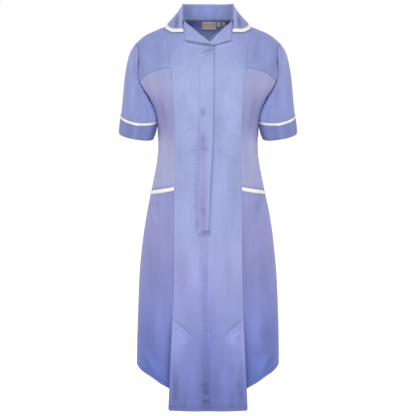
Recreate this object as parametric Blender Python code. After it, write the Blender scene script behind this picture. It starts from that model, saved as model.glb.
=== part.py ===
"""Nurse uniform dress, in its worn shape with no wearer inside.

Metres, +Z up, the front faces -Y. The origin is at the middle of the neck, level with
the shoulder seams' inner ends, where the wearer's shoulders hold the dress.

Every cut piece is a thin wall. The pieces of the body lie on one surface, body(angle, z):
the angle is 0 at the centre front, 90 degrees at the side seam and 180 at the centre
back, and each height has its own section. What lies on a panel is the same surface
moved out by a lift.
"""

import math

import bmesh
import bpy
import numpy as np

# Cloth, seams and layers
CLOTH = 0.0016
COLLAR_CLOTH = 0.0020
TRIM_CLOTH = 0.0012
LABEL_CLOTH = 0.0010
SEAM_HALF_GAP = 0.00016
LAYER = 0.0026
TRIM_LIFT = 0.0019
SHARP_DEG = 50.0
WELD_DISTANCE = 1e-6
MITRE_LIMIT = 0.4
CLEARING_ROUNDS = 3

# Heights on the body
V_Z = -0.0724
SHOULDER_POINT_Z = -0.0620
UNDERARM_Z = -0.2020
PRINCESS_TOP_Z = -0.0215
BUST_SEAM_INNER_Z = -0.1293
BUST_SEAM_OUTER_Z = -0.1783
UNDERARM_LEVEL_INNER_Z = -0.2200
POCKET_INNER_Z = -0.4412
POCKET_OUTER_Z = -0.4670
PLEAT_DIVE_Z = -0.7700
PLEAT_TOP_Z = -0.7990
FRONT_HEM_Z = -1.0620
SIDE_HEM_INNER_Z = -1.0040
SIDE_HEM_OUTER_Z = -0.9640
BACK_HEM_Z = -0.9820
FLY_END_Z = -0.5668

# Details
TRIM_WIDTH = 0.0095
BUST_SEAM_BEND = 2.1
POCKET_BEND = 0.95
HEM_BEND = 0.50
HEM_FADE_POWER = 5.0
POCKET_BACKING_DEPTH = 0.0300
UNDERLAP_WIDTH = 0.0220
UNDERLAP_LIFT = -0.0032
UNDERLAP_RISE = 0.0120
UNDERLAP_CLEAR = 0.0005
PLEAT_DEPTH = 0.0480
PLEAT_SLOPE = 0.0400
PLEAT_GAPE = 0.0080
PLEAT_FOLD_LOWER = 0.0090
PLEAT_FOLD_INSET = 0.0010
PLEAT_REACH_POWER = 1.5
PLEAT_SHARES = (1 / 3, 2 / 3, 1.0)

# Armhole, an oval on the body round the side seam's line
ARMHOLE_FRONT_DEG = 16.0
ARMHOLE_BACK_DEG = 17.0
ARMHOLE_ROUNDNESS = 2.4
ARMHOLE_MIDDLE_Z = (SHOULDER_POINT_Z + UNDERARM_Z) / 2
ARMHOLE_HALF_HEIGHT = (SHOULDER_POINT_Z - UNDERARM_Z) / 2

# Grid sizes
YOKE_ROWS = 7
ARM_ROWS = 3
BODICE_ROWS = 7
SKIRT_ROWS = 6
PLEAT_ROWS = 4
SIDE_COLUMNS = 6
TOP_FADE_ROWS = 9
TOP_FADE_POWER = 1.5
YOKE_CROWDING = 1.9

# Cross-sections of the body of the dress, from the neck down to the hem.
BODY_COLUMNS = ("z", "half_width", "front", "back", "front_square", "back_square")
BODY_ROWS = (
    (0.0060, 0.0560, 0.0420, 0.0640, 2.10, 2.10),
    (0.0000, 0.0640, 0.0500, 0.0700, 2.10, 2.10),
    (-0.0060, 0.0750, 0.0570, 0.0735, 2.15, 2.15),
    (-0.0140, 0.0960, 0.0650, 0.0790, 2.20, 2.20),
    (-0.0215, 0.1163, 0.0705, 0.0830, 2.20, 2.20),
    (-0.0284, 0.1350, 0.0750, 0.0865, 2.20, 2.20),
    (-0.0362, 0.1540, 0.0790, 0.0895, 2.20, 2.20),
    (-0.0441, 0.1690, 0.0825, 0.0920, 2.20, 2.20),
    (-0.0521, 0.1800, 0.0855, 0.0945, 2.20, 2.20),
    (-0.0620, 0.1910, 0.0890, 0.0970, 2.20, 2.25),
    (-0.0800, 0.1990, 0.0955, 0.1010, 2.20, 2.25),
    (-0.1050, 0.2040, 0.1030, 0.1045, 2.20, 2.30),
    (-0.1350, 0.2050, 0.1130, 0.1060, 2.20, 2.30),
    (-0.1600, 0.2000, 0.1195, 0.1060, 2.25, 2.30),
    (-0.1800, 0.1860, 0.1230, 0.1045, 2.25, 2.30),
    (-0.2020, 0.1680, 0.1240, 0.1020, 2.25, 2.30),
    (-0.2250, 0.1540, 0.1225, 0.0985, 2.25, 2.30),
    (-0.2500, 0.1445, 0.1190, 0.0945, 2.25, 2.30),
    (-0.2800, 0.1392, 0.1130, 0.0905, 2.25, 2.30),
    (-0.3200, 0.1370, 0.1060, 0.0870, 2.25, 2.30),
    (-0.3600, 0.1377, 0.1035, 0.0870, 2.30, 2.30),
    (-0.4080, 0.1452, 0.1050, 0.0925, 2.35, 2.30),
    (-0.4640, 0.1568, 0.1095, 0.1030, 2.40, 2.30),
    (-0.5210, 0.1687, 0.1140, 0.1130, 2.50, 2.30),
    (-0.5780, 0.1784, 0.1180, 0.1200, 2.55, 2.35),
    (-0.6650, 0.1890, 0.1220, 0.1250, 2.65, 2.40),
    (-0.7820, 0.1965, 0.1250, 0.1260, 2.80, 2.40),
    (-0.9020, 0.2012, 0.1270, 0.1260, 3.00, 2.40),
    (-1.0800, 0.2052, 0.1290, 0.1270, 3.20, 2.40),
)

# The princess seam, from the shoulder seam to the hem. The back's darts follow it too.
PRINCESS_COLUMNS = ("z", "x")
PRINCESS_ROWS = (
    (PRINCESS_TOP_Z, 0.1163),
    (-0.0565, 0.1091),
    (-0.1293, 0.0971),
    (-0.1900, 0.0915),
    (-0.2627, 0.0886),
    (-0.3431, 0.0874),
    (-0.4412, 0.0899),
    (-0.6351, 0.0921),
    (-0.7990, 0.0972),
    (-0.9200, 0.1030),
    (FRONT_HEM_Z, 0.1098),
)

# The folded edge of the fly, which goes on as the centre front seam below it.
FRONT_EDGE_COLUMNS = ("z", "x")
FRONT_EDGE_ROWS = (
    (V_Z, 0.0152),
    (-0.2200, 0.0148),
    (-0.3431, 0.0115),
    (-0.4500, 0.0060),
    (FLY_END_Z, 0.0024),
    (FRONT_HEM_Z, 0.0024),
)

# The neck seam round the body, by its angle.
NECK_COLUMNS = ("degrees", "z")
NECK_ROWS = (
    (53.0, -0.0103),
    (70.0, -0.0076),
    (90.0, -0.0060),
    (120.0, -0.0025),
    (150.0, -0.0006),
    (180.0, 0.0000),
)
FRONT_NECK_DEG = (53.0, 66.0, 78.0, 90.0)
BACK_NECK_DEG = (180.0, 165.0, 150.0, 135.0, 120.0, 105.0, 90.0)
SHOULDER_SEAM_Z = (-0.0140, PRINCESS_TOP_Z)

# The side hem, by its share of the way from the princess seam to the side seam.
HEM_COLUMNS = ("share", "z")
HEM_ROWS = (
    (0.00, SIDE_HEM_INNER_Z),
    (0.17, -0.9905),
    (0.33, -0.9750),
    (0.50, -0.9640),
    (0.67, -0.9580),
    (0.83, -0.9590),
    (1.00, SIDE_HEM_OUTER_Z),
)

# The roll line of each front, from the V up to the neck. x runs towards its own side.
ROLL_COLUMNS = ("right_x", "left_x", "right_z", "left_z")
ROLL_ROWS = (
    (-0.0152, -0.0068, V_Z, -0.0690),
    (0.0050, 0.0100, -0.0588, -0.0545),
    (0.0240, 0.0260, -0.0423, -0.0406),
    (0.0430, 0.0430, -0.0258, -0.0258),
)

# The revers, turned out on each front: its lower edge, from the V to its corner.
REVERS_TOP_INNER = (0.0585, -0.0125)
REVERS_TOP_OUTER = (0.0615, -0.0112)
REVERS_COLUMNS = ("right_x", "right_z", "left_x", "left_z")
REVERS_ROWS = (
    (-0.0152, -0.0724, 0.0040, -0.0640),
    (0.0000, -0.0690, 0.0150, -0.0712),
    (0.0200, -0.0652, 0.0260, -0.0682),
    (0.0400, -0.0614, 0.0420, -0.0630),
    (0.0588, -0.0578, 0.0588, -0.0578),
)
REVERS_STEPS = 6
REVERS_TIP_LIFT = 0.0026
REVERS_TIP_START = 0.0200
REVERS_TIP_RUN = 0.0150

# The collar at angles along the neck seam, from the centre back to its front end.
COLLAR_COLUMNS = ("degrees", "fold_x", "fold_y", "fold_z", "edge_deg", "edge_z", "bulge")
COLLAR_ROWS = (
    (180.0, 0.0000, 0.0700, 0.0432, 180.0, -0.0160, 0.0030),
    (150.0, 0.0400, 0.0610, 0.0430, 152.0, -0.0170, 0.0025),
    (120.0, 0.0615, 0.0370, 0.0415, 121.0, -0.0178, 0.0012),
    (90.0, 0.0662, 0.0080, 0.0378, 88.0, -0.0220, -0.0005),
    (75.0, 0.0658, -0.0180, 0.0230, 64.0, -0.0335, 0.0010),
    (65.0, 0.0650, -0.0330, 0.0085, 52.5, -0.0408, 0.0020),
    (55.0, 0.0640, -0.0460, -0.0035, 40.0, -0.0403, 0.0030),
)
COLLAR_DEG = (180.0, 165.0, 150.0, 135.0, 120.0, 105.0, 96.0, 88.0, 80.0, 72.0, 64.0, 55.0)
COLLAR_SEAM_LIFT = 0.0016
COLLAR_FOLD_HALF = 0.0024
COLLAR_FOLD_DROP = 0.0020
COLLAR_CLEARANCE = 0.0040
NECK_MIDDLE_Y = 0.0100
STAND_STEPS = 3
FALL_STEPS = 4

# The sleeve's rings, from the armhole to the hem: the outermost and innermost points,
# and how much lower the front is than they are.
SLEEVE_COLUMNS = ("outer_x", "outer_z", "inner_x", "inner_z", "half_depth", "front_drop")
SLEEVE_ROWS = (
    (0.1935, -0.0600, 0.1710, -0.2020, 0.0540, 0.0000),
    (0.2080, -0.0855, 0.1640, -0.2100, 0.0590, 0.0000),
    (0.2172, -0.1220, 0.1550, -0.2205, 0.0620, 0.0005),
    (0.2237, -0.1605, 0.1450, -0.2325, 0.0630, 0.0018),
    (0.2290, -0.1965, 0.1390, -0.2450, 0.0625, 0.0040),
    (0.2342, -0.2315, 0.1355, -0.2565, 0.0610, 0.0070),
    (0.2375, -0.2593, 0.1370, -0.2692, 0.0590, 0.0099),
    (0.2435, -0.3047, 0.1500, -0.3197, 0.0555, 0.0058),
)
SLEEVE_RINGS = (0.0, 0.4, 1.0, 2.0, 3.0, 4.0, 5.0, 6.0, 6.19, 6.96)
TRIM_RINGS = (6.0, 6.19)
CUFF_RINGS = (6.19, 7.0)
CUFF_START = 6.0
SLEEVE_SQUARE = 2.2
SLEEVE_INNER_SQUARE = 3.0
SLEEVE_LIFT = 0.0025
SLEEVE_CLEARANCE = 0.0045
CUFF_CLEARANCE = 0.0078
CUFF_LIFT = 0.0026

# Labels inside the back neck: left and right edges and the lower edge.
LABEL_COLUMNS = ("left", "right", "top", "bottom")
LABELS = {
    "neck_label": (-0.0165, 0.0225, -0.0012, -0.0246),
    "size_tab": (0.0246, 0.0361, -0.0030, -0.0166),
    "care_tab": (0.0400, 0.0505, -0.0052, -0.0150),
}
LABEL_LIFT = -0.0021

COLOURS = {
    "hospital_blue": (0.36, 0.42, 0.74, 1.0),
    "white_trim": (0.90, 0.89, 0.86, 1.0),
    "label_beige": (0.62, 0.56, 0.50, 1.0),
}


def column(rows, names, name):
    """One named column of a table as an array."""
    place = names.index(name)
    return np.array([row[place] for row in rows], float)


def smooth(known, values, wanted):
    """Piecewise cubic through (known, values), with slopes from their neighbours."""
    if known[0] > known[-1]:
        known, values = known[::-1], values[::-1]
    wanted = np.clip(np.asarray(wanted, float), known[0], known[-1])
    slope = np.gradient(values, known)
    i = np.clip(np.searchsorted(known, wanted, side="right") - 1, 0, len(known) - 2)
    step = known[i + 1] - known[i]
    t = (wanted - known[i]) / step
    return (
        (2 * t**3 - 3 * t**2 + 1) * values[i]
        + (t**3 - 2 * t**2 + t) * step * slope[i]
        + (3 * t**2 - 2 * t**3) * values[i + 1]
        + (t**3 - t**2) * step * slope[i + 1]
    )


def table(rows, names, key, name, wanted):
    """A table's column read smoothly at the wanted values of its key column."""
    return smooth(column(rows, names, key), column(rows, names, name), wanted)


def section(name, z):
    """One size of the body's cross-section at height z."""
    return table(BODY_ROWS, BODY_COLUMNS, "z", name, z)


def body_radius(angle, z):
    """How far the body's surface is from the vertical axis, at an angle and a height."""
    front = np.cos(angle) >= 0
    depth = np.where(front, section("front", z), section("back", z))
    square = np.where(front, section("front_square", z), section("back_square", z))
    across = np.abs(np.sin(angle)) / section("half_width", z)
    along = np.abs(np.cos(angle)) / depth
    return (across**square + along**square) ** (-1 / square)


def body(angle, z):
    """The dress's body: a squared oval at each height, in polar form."""
    angle, z = np.broadcast_arrays(np.asarray(angle, float), np.asarray(z, float))
    radius = body_radius(angle, z)
    return np.stack([radius * np.sin(angle), -radius * np.cos(angle), z], -1)


def body_normal(angle, z):
    """Unit outward normal of the body's surface, from small differences."""
    turn, rise = 1e-3, 2e-4
    around = body(angle + turn, z) - body(angle - turn, z)
    up = body(angle, z + rise) - body(angle, z - rise)
    normal = np.cross(around, up)
    return normal / np.linalg.norm(normal, axis=-1, keepdims=True)


def clear_of_body(points, clearance):
    """Points on the +X side, moved out until they are that far from the body."""
    for _ in range(CLEARING_ROUNDS):
        angle = np.arctan2(points[..., 0], -points[..., 1])
        radius = np.hypot(points[..., 0], points[..., 1])
        normal = body_normal(angle, points[..., 2])
        outward = normal[..., 0] * np.sin(angle) - normal[..., 1] * np.cos(angle)
        distance = (radius - body_radius(angle, points[..., 2])) * outward
        points = points + normal * np.clip(clearance - distance, 0, None)[..., None]
    return points


def angle_at(x, z, back=False):
    """The angle at which the body's surface at height z has that x."""
    depth = section("back" if back else "front", z)
    square = section("back_square" if back else "front_square", z)
    share = np.clip(np.abs(x) / section("half_width", z), 0, 1)
    y = depth * (1 - share**square) ** (1 / square)
    angle = np.arctan2(np.abs(x), y)
    return np.sign(x) * (math.pi - angle if back else angle)


def princess_x(z):
    """How far the princess seam is from the middle at height z."""
    return table(PRINCESS_ROWS, PRINCESS_COLUMNS, "z", "x", z)


def front_edge_x(z):
    """How far the fly's folded edge is past the middle at height z."""
    return table(FRONT_EDGE_ROWS, FRONT_EDGE_COLUMNS, "z", "x", z)


def neck_z(degrees):
    """Height of the neck seam at an angle round the body."""
    return table(NECK_ROWS, NECK_COLUMNS, "degrees", "z", degrees)


def steps(start, end, count, power=1.0):
    """count + 1 heights from start to end, crowded near start where power is over 1."""
    return start + (end - start) * np.linspace(0, 1, count + 1) ** power


def joined(*runs):
    """Runs of stations joined end to end, each shared station kept once."""
    return np.concatenate([runs[0]] + [run[1:] for run in runs[1:]])


def armhole(turns, back=False):
    """Angles and heights of the armhole's edge, at turns from 0 (top) to pi (bottom)."""
    power = 2 / ARMHOLE_ROUNDNESS
    rise = np.sign(np.cos(turns)) * np.abs(np.cos(turns)) ** power
    wide = np.abs(np.sin(turns)) ** power
    degrees = 90 + ARMHOLE_BACK_DEG * wide if back else 90 - ARMHOLE_FRONT_DEG * wide
    return np.radians(degrees), ARMHOLE_MIDDLE_Z + ARMHOLE_HALF_HEIGHT * rise


# Stations down the seams. Both panels that meet at a seam use the same ones.
BUST_SHARE = (ARMHOLE_MIDDLE_Z - BUST_SEAM_OUTER_Z) / ARMHOLE_HALF_HEIGHT
BUST_TURN = math.pi / 2 + math.asin(BUST_SHARE ** (ARMHOLE_ROUNDNESS / 2))
ARMHOLE_TURNS = joined(steps(0, BUST_TURN, YOKE_ROWS), steps(BUST_TURN, math.pi, ARM_ROWS))
YOKE_PRINCESS = steps(PRINCESS_TOP_Z, BUST_SEAM_INNER_Z, YOKE_ROWS, YOKE_CROWDING)
BODICE_PRINCESS = joined(
    steps(BUST_SEAM_INNER_Z, UNDERARM_LEVEL_INNER_Z, ARM_ROWS),
    steps(UNDERARM_LEVEL_INNER_Z, POCKET_INNER_Z, BODICE_ROWS),
)
BODICE_SIDE = steps(UNDERARM_Z, POCKET_OUTER_Z, BODICE_ROWS)
SKIRT_PRINCESS = joined(
    steps(POCKET_INNER_Z, POCKET_INNER_Z - TRIM_WIDTH, 1),
    steps(POCKET_INNER_Z - TRIM_WIDTH, PLEAT_DIVE_Z, SKIRT_ROWS),
    steps(PLEAT_DIVE_Z, PLEAT_TOP_Z, 1),
)
SKIRT_SIDE = joined(
    steps(POCKET_OUTER_Z, POCKET_OUTER_Z - TRIM_WIDTH, 1),
    steps(POCKET_OUTER_Z - TRIM_WIDTH, SIDE_HEM_OUTER_Z, SKIRT_ROWS + 1 + PLEAT_ROWS),
)


def princess_seam(stations, back=False):
    """Angles and heights down the princess line."""
    return angle_at(princess_x(stations), stations, back), stations


def side_seam(stations):
    """Angles and heights down the side seam."""
    return np.full(len(stations), math.pi / 2), stations


def followed(*lines):
    """Lines of (angles, heights) joined end to end."""
    return joined(*(line[0] for line in lines)), joined(*(line[1] for line in lines))


def ruled(left, right, across, bend):
    """A grid of (angle, z, lift) between two lines, each a pair (angles, heights).

    across holds the columns' shares of the way. bend, one number a row, is the power
    of the share that the height follows, so that a seam can run level and then drop.
    """
    share = np.asarray(across, float)[None, :]
    power = np.asarray(bend, float)[:, None]
    angle = left[0][:, None] + (right[0] - left[0])[:, None] * share
    z = left[1][:, None] + (right[1] - left[1])[:, None] * share**power
    return np.stack([angle, z, np.zeros_like(z)], -1)


def centre_grid(edge, seam, top):
    """A centre panel as (angle, z, lift), from its inner edge to the princess seam.

    edge holds the angles and heights of the inner columns and seam those of the seam.
    The top row follows the (angle, z) points of top, and that shape fades out below.
    """
    top_angle, top_z = np.array(top).T
    share = np.linspace(0, 1, len(top))[None, :]
    angle = edge[0][:, None] + (seam[0] - edge[0])[:, None] * share
    z = edge[1][:, None] + (seam[1] - edge[1])[:, None] * share
    fade = np.clip(1 - np.arange(len(seam[1])) / TOP_FADE_ROWS, 0, 1)[:, None] ** TOP_FADE_POWER
    angle = angle + (top_angle - angle[0]) * fade
    z = z + (top_z - z[0]) * fade
    return np.stack([angle, z, np.zeros_like(z)], -1)


def placed(grid, side):
    """Points and normals of an (angle, z, lift) grid, on the +X or the -X side."""
    angle, z, lift = grid[..., 0], grid[..., 1], grid[..., 2]
    normals = body_normal(angle, z)
    points = body(angle, z) + normals * lift[..., None]
    flip = np.array([side, 1.0, 1.0])
    return points * flip, normals * flip


def grid_normals(points, closed=False):
    """Unit normals of a free grid. closed means that its columns run round a ring."""
    if closed:
        along = np.roll(points, -1, 1) - np.roll(points, 1, 1)
    else:
        along = np.gradient(points, axis=1)
    normals = np.cross(along, np.gradient(points, axis=0))
    return normals / np.linalg.norm(normals, axis=-1, keepdims=True)


def quads(points, normals, closed, start):
    """A grid's faces, numbered row by row from start and turned to face its normals."""
    rows, columns = points.shape[:2]
    last = columns if closed else columns - 1
    along = (np.roll(points, -1, 1) - points)[:-1, : columns - 1]
    down = (points[1:] - points[:-1])[:, : columns - 1]
    facing = (np.cross(along, down) * normals[:-1, : columns - 1]).sum() > 0
    faces = [
        (
            start + r * columns + c,
            start + r * columns + (c + 1) % columns,
            start + (r + 1) * columns + (c + 1) % columns,
            start + (r + 1) * columns + c,
        )
        for r in range(rows - 1)
        for c in range(last)
    ]
    return faces if facing else [face[::-1] for face in faces]


def welded(patches, closed):
    """Patches joined along the points that they share, as points, normals and faces."""
    points, normals, faces, start = [], [], [], 0
    for patch_points, patch_normals in patches:
        faces += quads(patch_points, patch_normals, closed, start)
        points.append(patch_points.reshape(-1, 3))
        normals.append(patch_normals.reshape(-1, 3))
        start += len(points[-1])
    points, normals = np.concatenate(points), np.concatenate(normals)
    keys = np.round(points / WELD_DISTANCE).astype(np.int64)
    _, first, back = np.unique(keys, axis=0, return_index=True, return_inverse=True)
    back = back.reshape(-1)
    faces = [tuple(dict.fromkeys(int(back[v]) for v in face)) for face in faces]
    return points[first], normals[first], [face for face in faces if len(face) > 2]


def free_edges(faces):
    """The directed edges that only one face has."""
    edges = [(f[k], f[(k + 1) % len(f)]) for f in faces for k in range(len(f))]
    known = set(edges)
    return [edge for edge in edges if (edge[1], edge[0]) not in known]


def drawn_in(points, normals, edges, gap):
    """The sheet's free edges moved back by the gap, square to the edge, in the sheet."""
    inward = {v: [] for edge in edges for v in edge}
    for start, end in edges:
        normal = normals[start] + normals[end]
        square = np.cross(normal, points[end] - points[start])
        square /= np.linalg.norm(square)
        inward[start].append(square)
        inward[end].append(square)
    moved = points.copy()
    for v, squares in inward.items():
        mean = np.mean(squares, 0)
        moved[v] += mean * gap / max(float(mean @ mean), MITRE_LIMIT)
    return moved


def material(colour):
    """The named cloth finish, made once."""
    found = bpy.data.materials.get(colour)
    if found:
        return found
    made = bpy.data.materials.new(colour)
    made.use_nodes = True
    shader = made.node_tree.nodes["Principled BSDF"]
    shader.inputs["Base Color"].default_value = COLOURS[colour]
    shader.inputs["Roughness"].default_value = 0.8
    shader.inputs["Metallic"].default_value = 0.0
    return made


def cloth(name, patches, colour="hospital_blue", thickness=CLOTH, closed=False):
    """A cut piece: a wall of the given thickness about its patches' surface."""
    points, normals, faces = welded(patches, closed)
    edges = free_edges(faces)
    points = drawn_in(points, normals, edges, SEAM_HALF_GAP)
    count = len(points)
    outer = points + normals * thickness / 2
    inner = points - normals * thickness / 2
    shell = list(faces)
    shell += [tuple(v + count for v in face[::-1]) for face in faces]
    shell += [(b, a, a + count, b + count) for a, b in edges]
    mesh = bpy.data.meshes.new(name)
    mesh.from_pydata(np.concatenate([outer, inner]).tolist(), [], shell)
    tidy = bmesh.new()
    tidy.from_mesh(mesh)
    bmesh.ops.triangulate(tidy, faces=tidy.faces)
    tidy.to_mesh(mesh)
    tidy.free()
    mesh.shade_smooth()
    mesh.set_sharp_from_angle(angle=math.radians(SHARP_DEG))
    mesh.materials.append(material(colour))
    piece = bpy.data.objects.new(name, mesh)
    bpy.context.scene.collection.objects.link(piece)
    return piece


def shoulder_top():
    """Angles and heights of the shoulder seam, from the neck to the princess seam."""
    return [(math.pi / 2, z) for z in SHOULDER_SEAM_Z]


def front_top(side):
    """The top edge of a centre front: roll line, neck seam, then shoulder seam."""
    name = "left" if side > 0 else "right"
    x = column(ROLL_ROWS, ROLL_COLUMNS, name + "_x")
    z = column(ROLL_ROWS, ROLL_COLUMNS, name + "_z")
    top = list(zip(angle_at(x, z), z))
    top += [(math.radians(deg), float(neck_z(deg))) for deg in FRONT_NECK_DEG]
    return top + shoulder_top()


def make_front(name, side):
    """A centre front. The wearer's right one (-X) laps over the left one (+X)."""
    stations = joined(
        YOKE_PRINCESS,
        BODICE_PRINCESS,
        SKIRT_PRINCESS,
        steps(PLEAT_TOP_Z, FRONT_HEM_Z, PLEAT_ROWS),
    )
    share = (stations - stations[0]) / (stations[-1] - stations[0])
    edge_z = V_Z + (FRONT_HEM_Z - V_Z) * share
    edge_x = side * front_edge_x(edge_z)
    seam = princess_seam(stations)
    grid = centre_grid((angle_at(edge_x, edge_z), edge_z), seam, front_top(side))
    if side > 0:
        row = np.arange(len(stations))
        fly_rows = int((edge_z > FLY_END_Z).sum())
        width = UNDERLAP_WIDTH * (row < fly_rows)
        lapped = row < fly_rows + 1
        for place, away in enumerate((-width, 0, UNDERLAP_RISE)):
            tucked = angle_at(edge_x + UNDERLAP_CLEAR + away, edge_z)
            grid[1:, place, 0] = np.where(lapped, tucked, grid[:, place, 0])[1:]
        grid[:, :2, 2] = UNDERLAP_LIFT * lapped[:, None]
    return cloth(name, [placed(grid, side)])


def make_yoke(name, side):
    """The upper side front, from the shoulder seam down to the bust seam."""
    outer = armhole(ARMHOLE_TURNS[: YOKE_ROWS + 1])
    bend = np.linspace(1, BUST_SEAM_BEND, YOKE_ROWS + 1)
    across = np.linspace(0, 1, SIDE_COLUMNS + 1)
    grid = ruled(princess_seam(YOKE_PRINCESS), outer, across, bend)
    return cloth(name, [placed(grid, side)])


def make_bodice_side(name, side):
    """The side of the bodice, which goes on behind the pocket's mouth as its backing."""
    outer = followed(armhole(ARMHOLE_TURNS[YOKE_ROWS:]), side_seam(BODICE_SIDE))
    bend = np.concatenate(
        [
            np.linspace(BUST_SEAM_BEND, 1, ARM_ROWS + 2),
            np.linspace(1, POCKET_BEND, BODICE_ROWS)[1:],
        ]
    )
    across = np.linspace(0, 1, SIDE_COLUMNS + 1)
    grid = ruled(princess_seam(BODICE_PRINCESS), outer, across, bend)
    grid[-1, :, 2] = -LAYER
    backing = grid[-1:].copy()
    backing[..., 1] -= POCKET_BACKING_DEPTH
    return cloth(name, [placed(np.concatenate([grid, backing]), side)])


def skirt_side_grid():
    """The side of the skirt, set back under the front's edge where the pleat opens."""
    stations = joined(SKIRT_PRINCESS, steps(PLEAT_TOP_Z, SIDE_HEM_INNER_Z, PLEAT_ROWS))
    bend = np.linspace(POCKET_BEND, HEM_BEND, len(stations))
    across = np.linspace(0, 1, SIDE_COLUMNS + 1)
    grid = ruled(princess_seam(stations), side_seam(SKIRT_SIDE), across, bend)
    fade = np.linspace(0, 1, len(stations))[:, None] ** HEM_FADE_POWER
    grid[..., 1] += (table(HEM_ROWS, HEM_COLUMNS, "share", "z", across) - grid[-1, :, 1]) * fade
    drop = np.zeros(len(stations))
    drop[-PLEAT_ROWS - 1:] = -2 * LAYER - PLEAT_GAPE * np.linspace(0, 1, PLEAT_ROWS + 1)
    reach = np.clip(1 - 2 * across, 0, 1) ** PLEAT_REACH_POWER
    grid[..., 2] = drop[:, None] * reach[None, :]
    return grid


def make_skirt_side(name, side):
    """The side of the skirt with its part of the pleat, which lies under the front."""
    grid = skirt_side_grid()
    edge = grid[-PLEAT_ROWS - 1:, 0]
    edge_x = body(edge[:, 0], edge[:, 1])[:, 0]
    patches = [placed(grid, side)]
    under = [edge]
    for share in PLEAT_SHARES:
        line = edge.copy()
        down = (edge[:, 1] - edge[0, 1]) / (edge[-1, 1] - edge[0, 1])
        line[:, 1] -= PLEAT_SLOPE * share * (1 - down)
        line[:, 0] = angle_at(edge_x - PLEAT_DEPTH * share, line[:, 1])
        line[:, 2] = edge[:, 2] * (1 - share) - 2 * LAYER * share
        under.insert(0, line)
    patches.append(placed(np.stack(under, 1), side))
    return cloth(name, patches)


def make_pleat_fold(name, side):
    """The front's own part of the pleat, folded back under its edge."""
    stations = steps(PLEAT_TOP_Z - PLEAT_FOLD_LOWER, FRONT_HEM_Z, PLEAT_ROWS)
    down = (stations - stations[0]) / (stations[-1] - stations[0])
    lines = []
    for share in PLEAT_SHARES[::-1] + (0.0,):
        z = stations - PLEAT_SLOPE * share * (1 - down)
        angle = angle_at(princess_x(stations) - PLEAT_FOLD_INSET - PLEAT_DEPTH * share, z)
        lines.append(np.stack([angle, z, np.full(len(z), -LAYER)], -1))
    return cloth(name, [placed(np.stack(lines, 1), side)])


def make_pocket_trim(name, side):
    """The white binding along the pocket's mouth, on the top of the skirt's side."""
    grid = skirt_side_grid()[:2]
    grid[..., 2] = TRIM_LIFT
    return cloth(name, [placed(grid, side)], "white_trim", TRIM_CLOTH)


def back_patches(side):
    """The back's centre and side on one side of the centre back."""
    low = SKIRT_ROWS + 2 + PLEAT_ROWS
    stations = joined(
        YOKE_PRINCESS, BODICE_PRINCESS, steps(POCKET_INNER_Z, BACK_HEM_Z, low)
    )
    seam = princess_seam(stations, back=True)
    top = [(math.radians(deg), float(neck_z(deg))) for deg in BACK_NECK_DEG]
    share = (stations - stations[0]) / (stations[-1] - stations[0])
    edge = (np.full(len(stations), math.pi), top[0][1] + (BACK_HEM_Z - top[0][1]) * share)
    centre = centre_grid(edge, seam, top + shoulder_top())
    outer = followed(
        armhole(ARMHOLE_TURNS, back=True), side_seam(BODICE_SIDE), side_seam(SKIRT_SIDE)
    )
    across = np.linspace(0, 1, SIDE_COLUMNS + 1)
    outside = ruled(seam, outer, across, np.ones(len(stations)))
    return [placed(centre, side), placed(outside, side)]


def sleeve_ring(rings, turn):
    """Points of the sleeve's rings, at turns from 0 (outermost) to 2 pi, front first."""
    index = np.arange(len(SLEEVE_ROWS), dtype=float)
    sizes = {
        name: smooth(index, column(SLEEVE_ROWS, SLEEVE_COLUMNS, name), rings)[:, None]
        for name in SLEEVE_COLUMNS
    }
    inner = np.cos(turn) < 0
    square = np.where(inner, SLEEVE_INNER_SQUARE, SLEEVE_SQUARE)
    reach = (np.abs(np.cos(turn)) ** square + np.abs(np.sin(turn)) ** square) ** (-1 / square)
    out = (reach * np.cos(turn))[None, :]
    forward = (reach * np.sin(turn))[None, :]
    x = (sizes["outer_x"] + sizes["inner_x"]) / 2
    z = (sizes["outer_z"] + sizes["inner_z"]) / 2
    x = x + (sizes["outer_x"] - sizes["inner_x"]) / 2 * out
    z = z + (sizes["outer_z"] - sizes["inner_z"]) / 2 * out - sizes["front_drop"] * forward
    return np.stack([x, -sizes["half_depth"] * forward, z], -1)


def sleeve_surface(rings):
    """The sleeve's middle surface: its rings, led into the armhole's edge at the top."""
    rings = np.asarray(rings, float)
    front = armhole(ARMHOLE_TURNS)
    back = armhole(ARMHOLE_TURNS[-2:0:-1], back=True)
    angle, z = (np.concatenate([f, b]) for f, b in zip(front, back))
    rim = body(angle, z) + body_normal(angle, z) * SLEEVE_LIFT
    first = dict(zip(SLEEVE_COLUMNS, SLEEVE_ROWS[0]))
    outermost = np.array([first["outer_x"], first["outer_z"]])
    innermost = np.array([first["inner_x"], first["inner_z"]])
    middle = (outermost + innermost) / 2
    half = (outermost - innermost) / 2
    out = ((rim[:, [0, 2]] - middle) @ half) / (half @ half)
    turn = np.arctan2(-rim[:, 1] / first["half_depth"], out)
    start = sleeve_ring(np.zeros(1), turn)
    lead = np.clip(1 - rings / 2, 0, 1)[:, None, None] ** 2
    points = sleeve_ring(rings, turn) + (rim[None] - start) * lead
    leave = np.clip(rings, 0, 1)
    cuffed = np.clip((rings - CUFF_START + 1), 0, 1)
    clearance = SLEEVE_LIFT + (SLEEVE_CLEARANCE - SLEEVE_LIFT) * leave
    clearance = clearance + (CUFF_CLEARANCE - SLEEVE_CLEARANCE) * cuffed
    return clear_of_body(points, clearance[:, None])


def sleeve_patch(rings, side, lift=0.0):
    """Points and normals of a run of the sleeve's rings, moved out by the lift."""
    points = sleeve_surface(rings)
    normals = grid_normals(points, closed=True)
    outward = ((points - points.mean(1, keepdims=True)) * normals).sum()
    normals = normals * np.sign(outward)
    points = points + normals * lift
    flip = np.array([side, 1.0, 1.0])
    return points * flip, normals * flip


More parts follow.
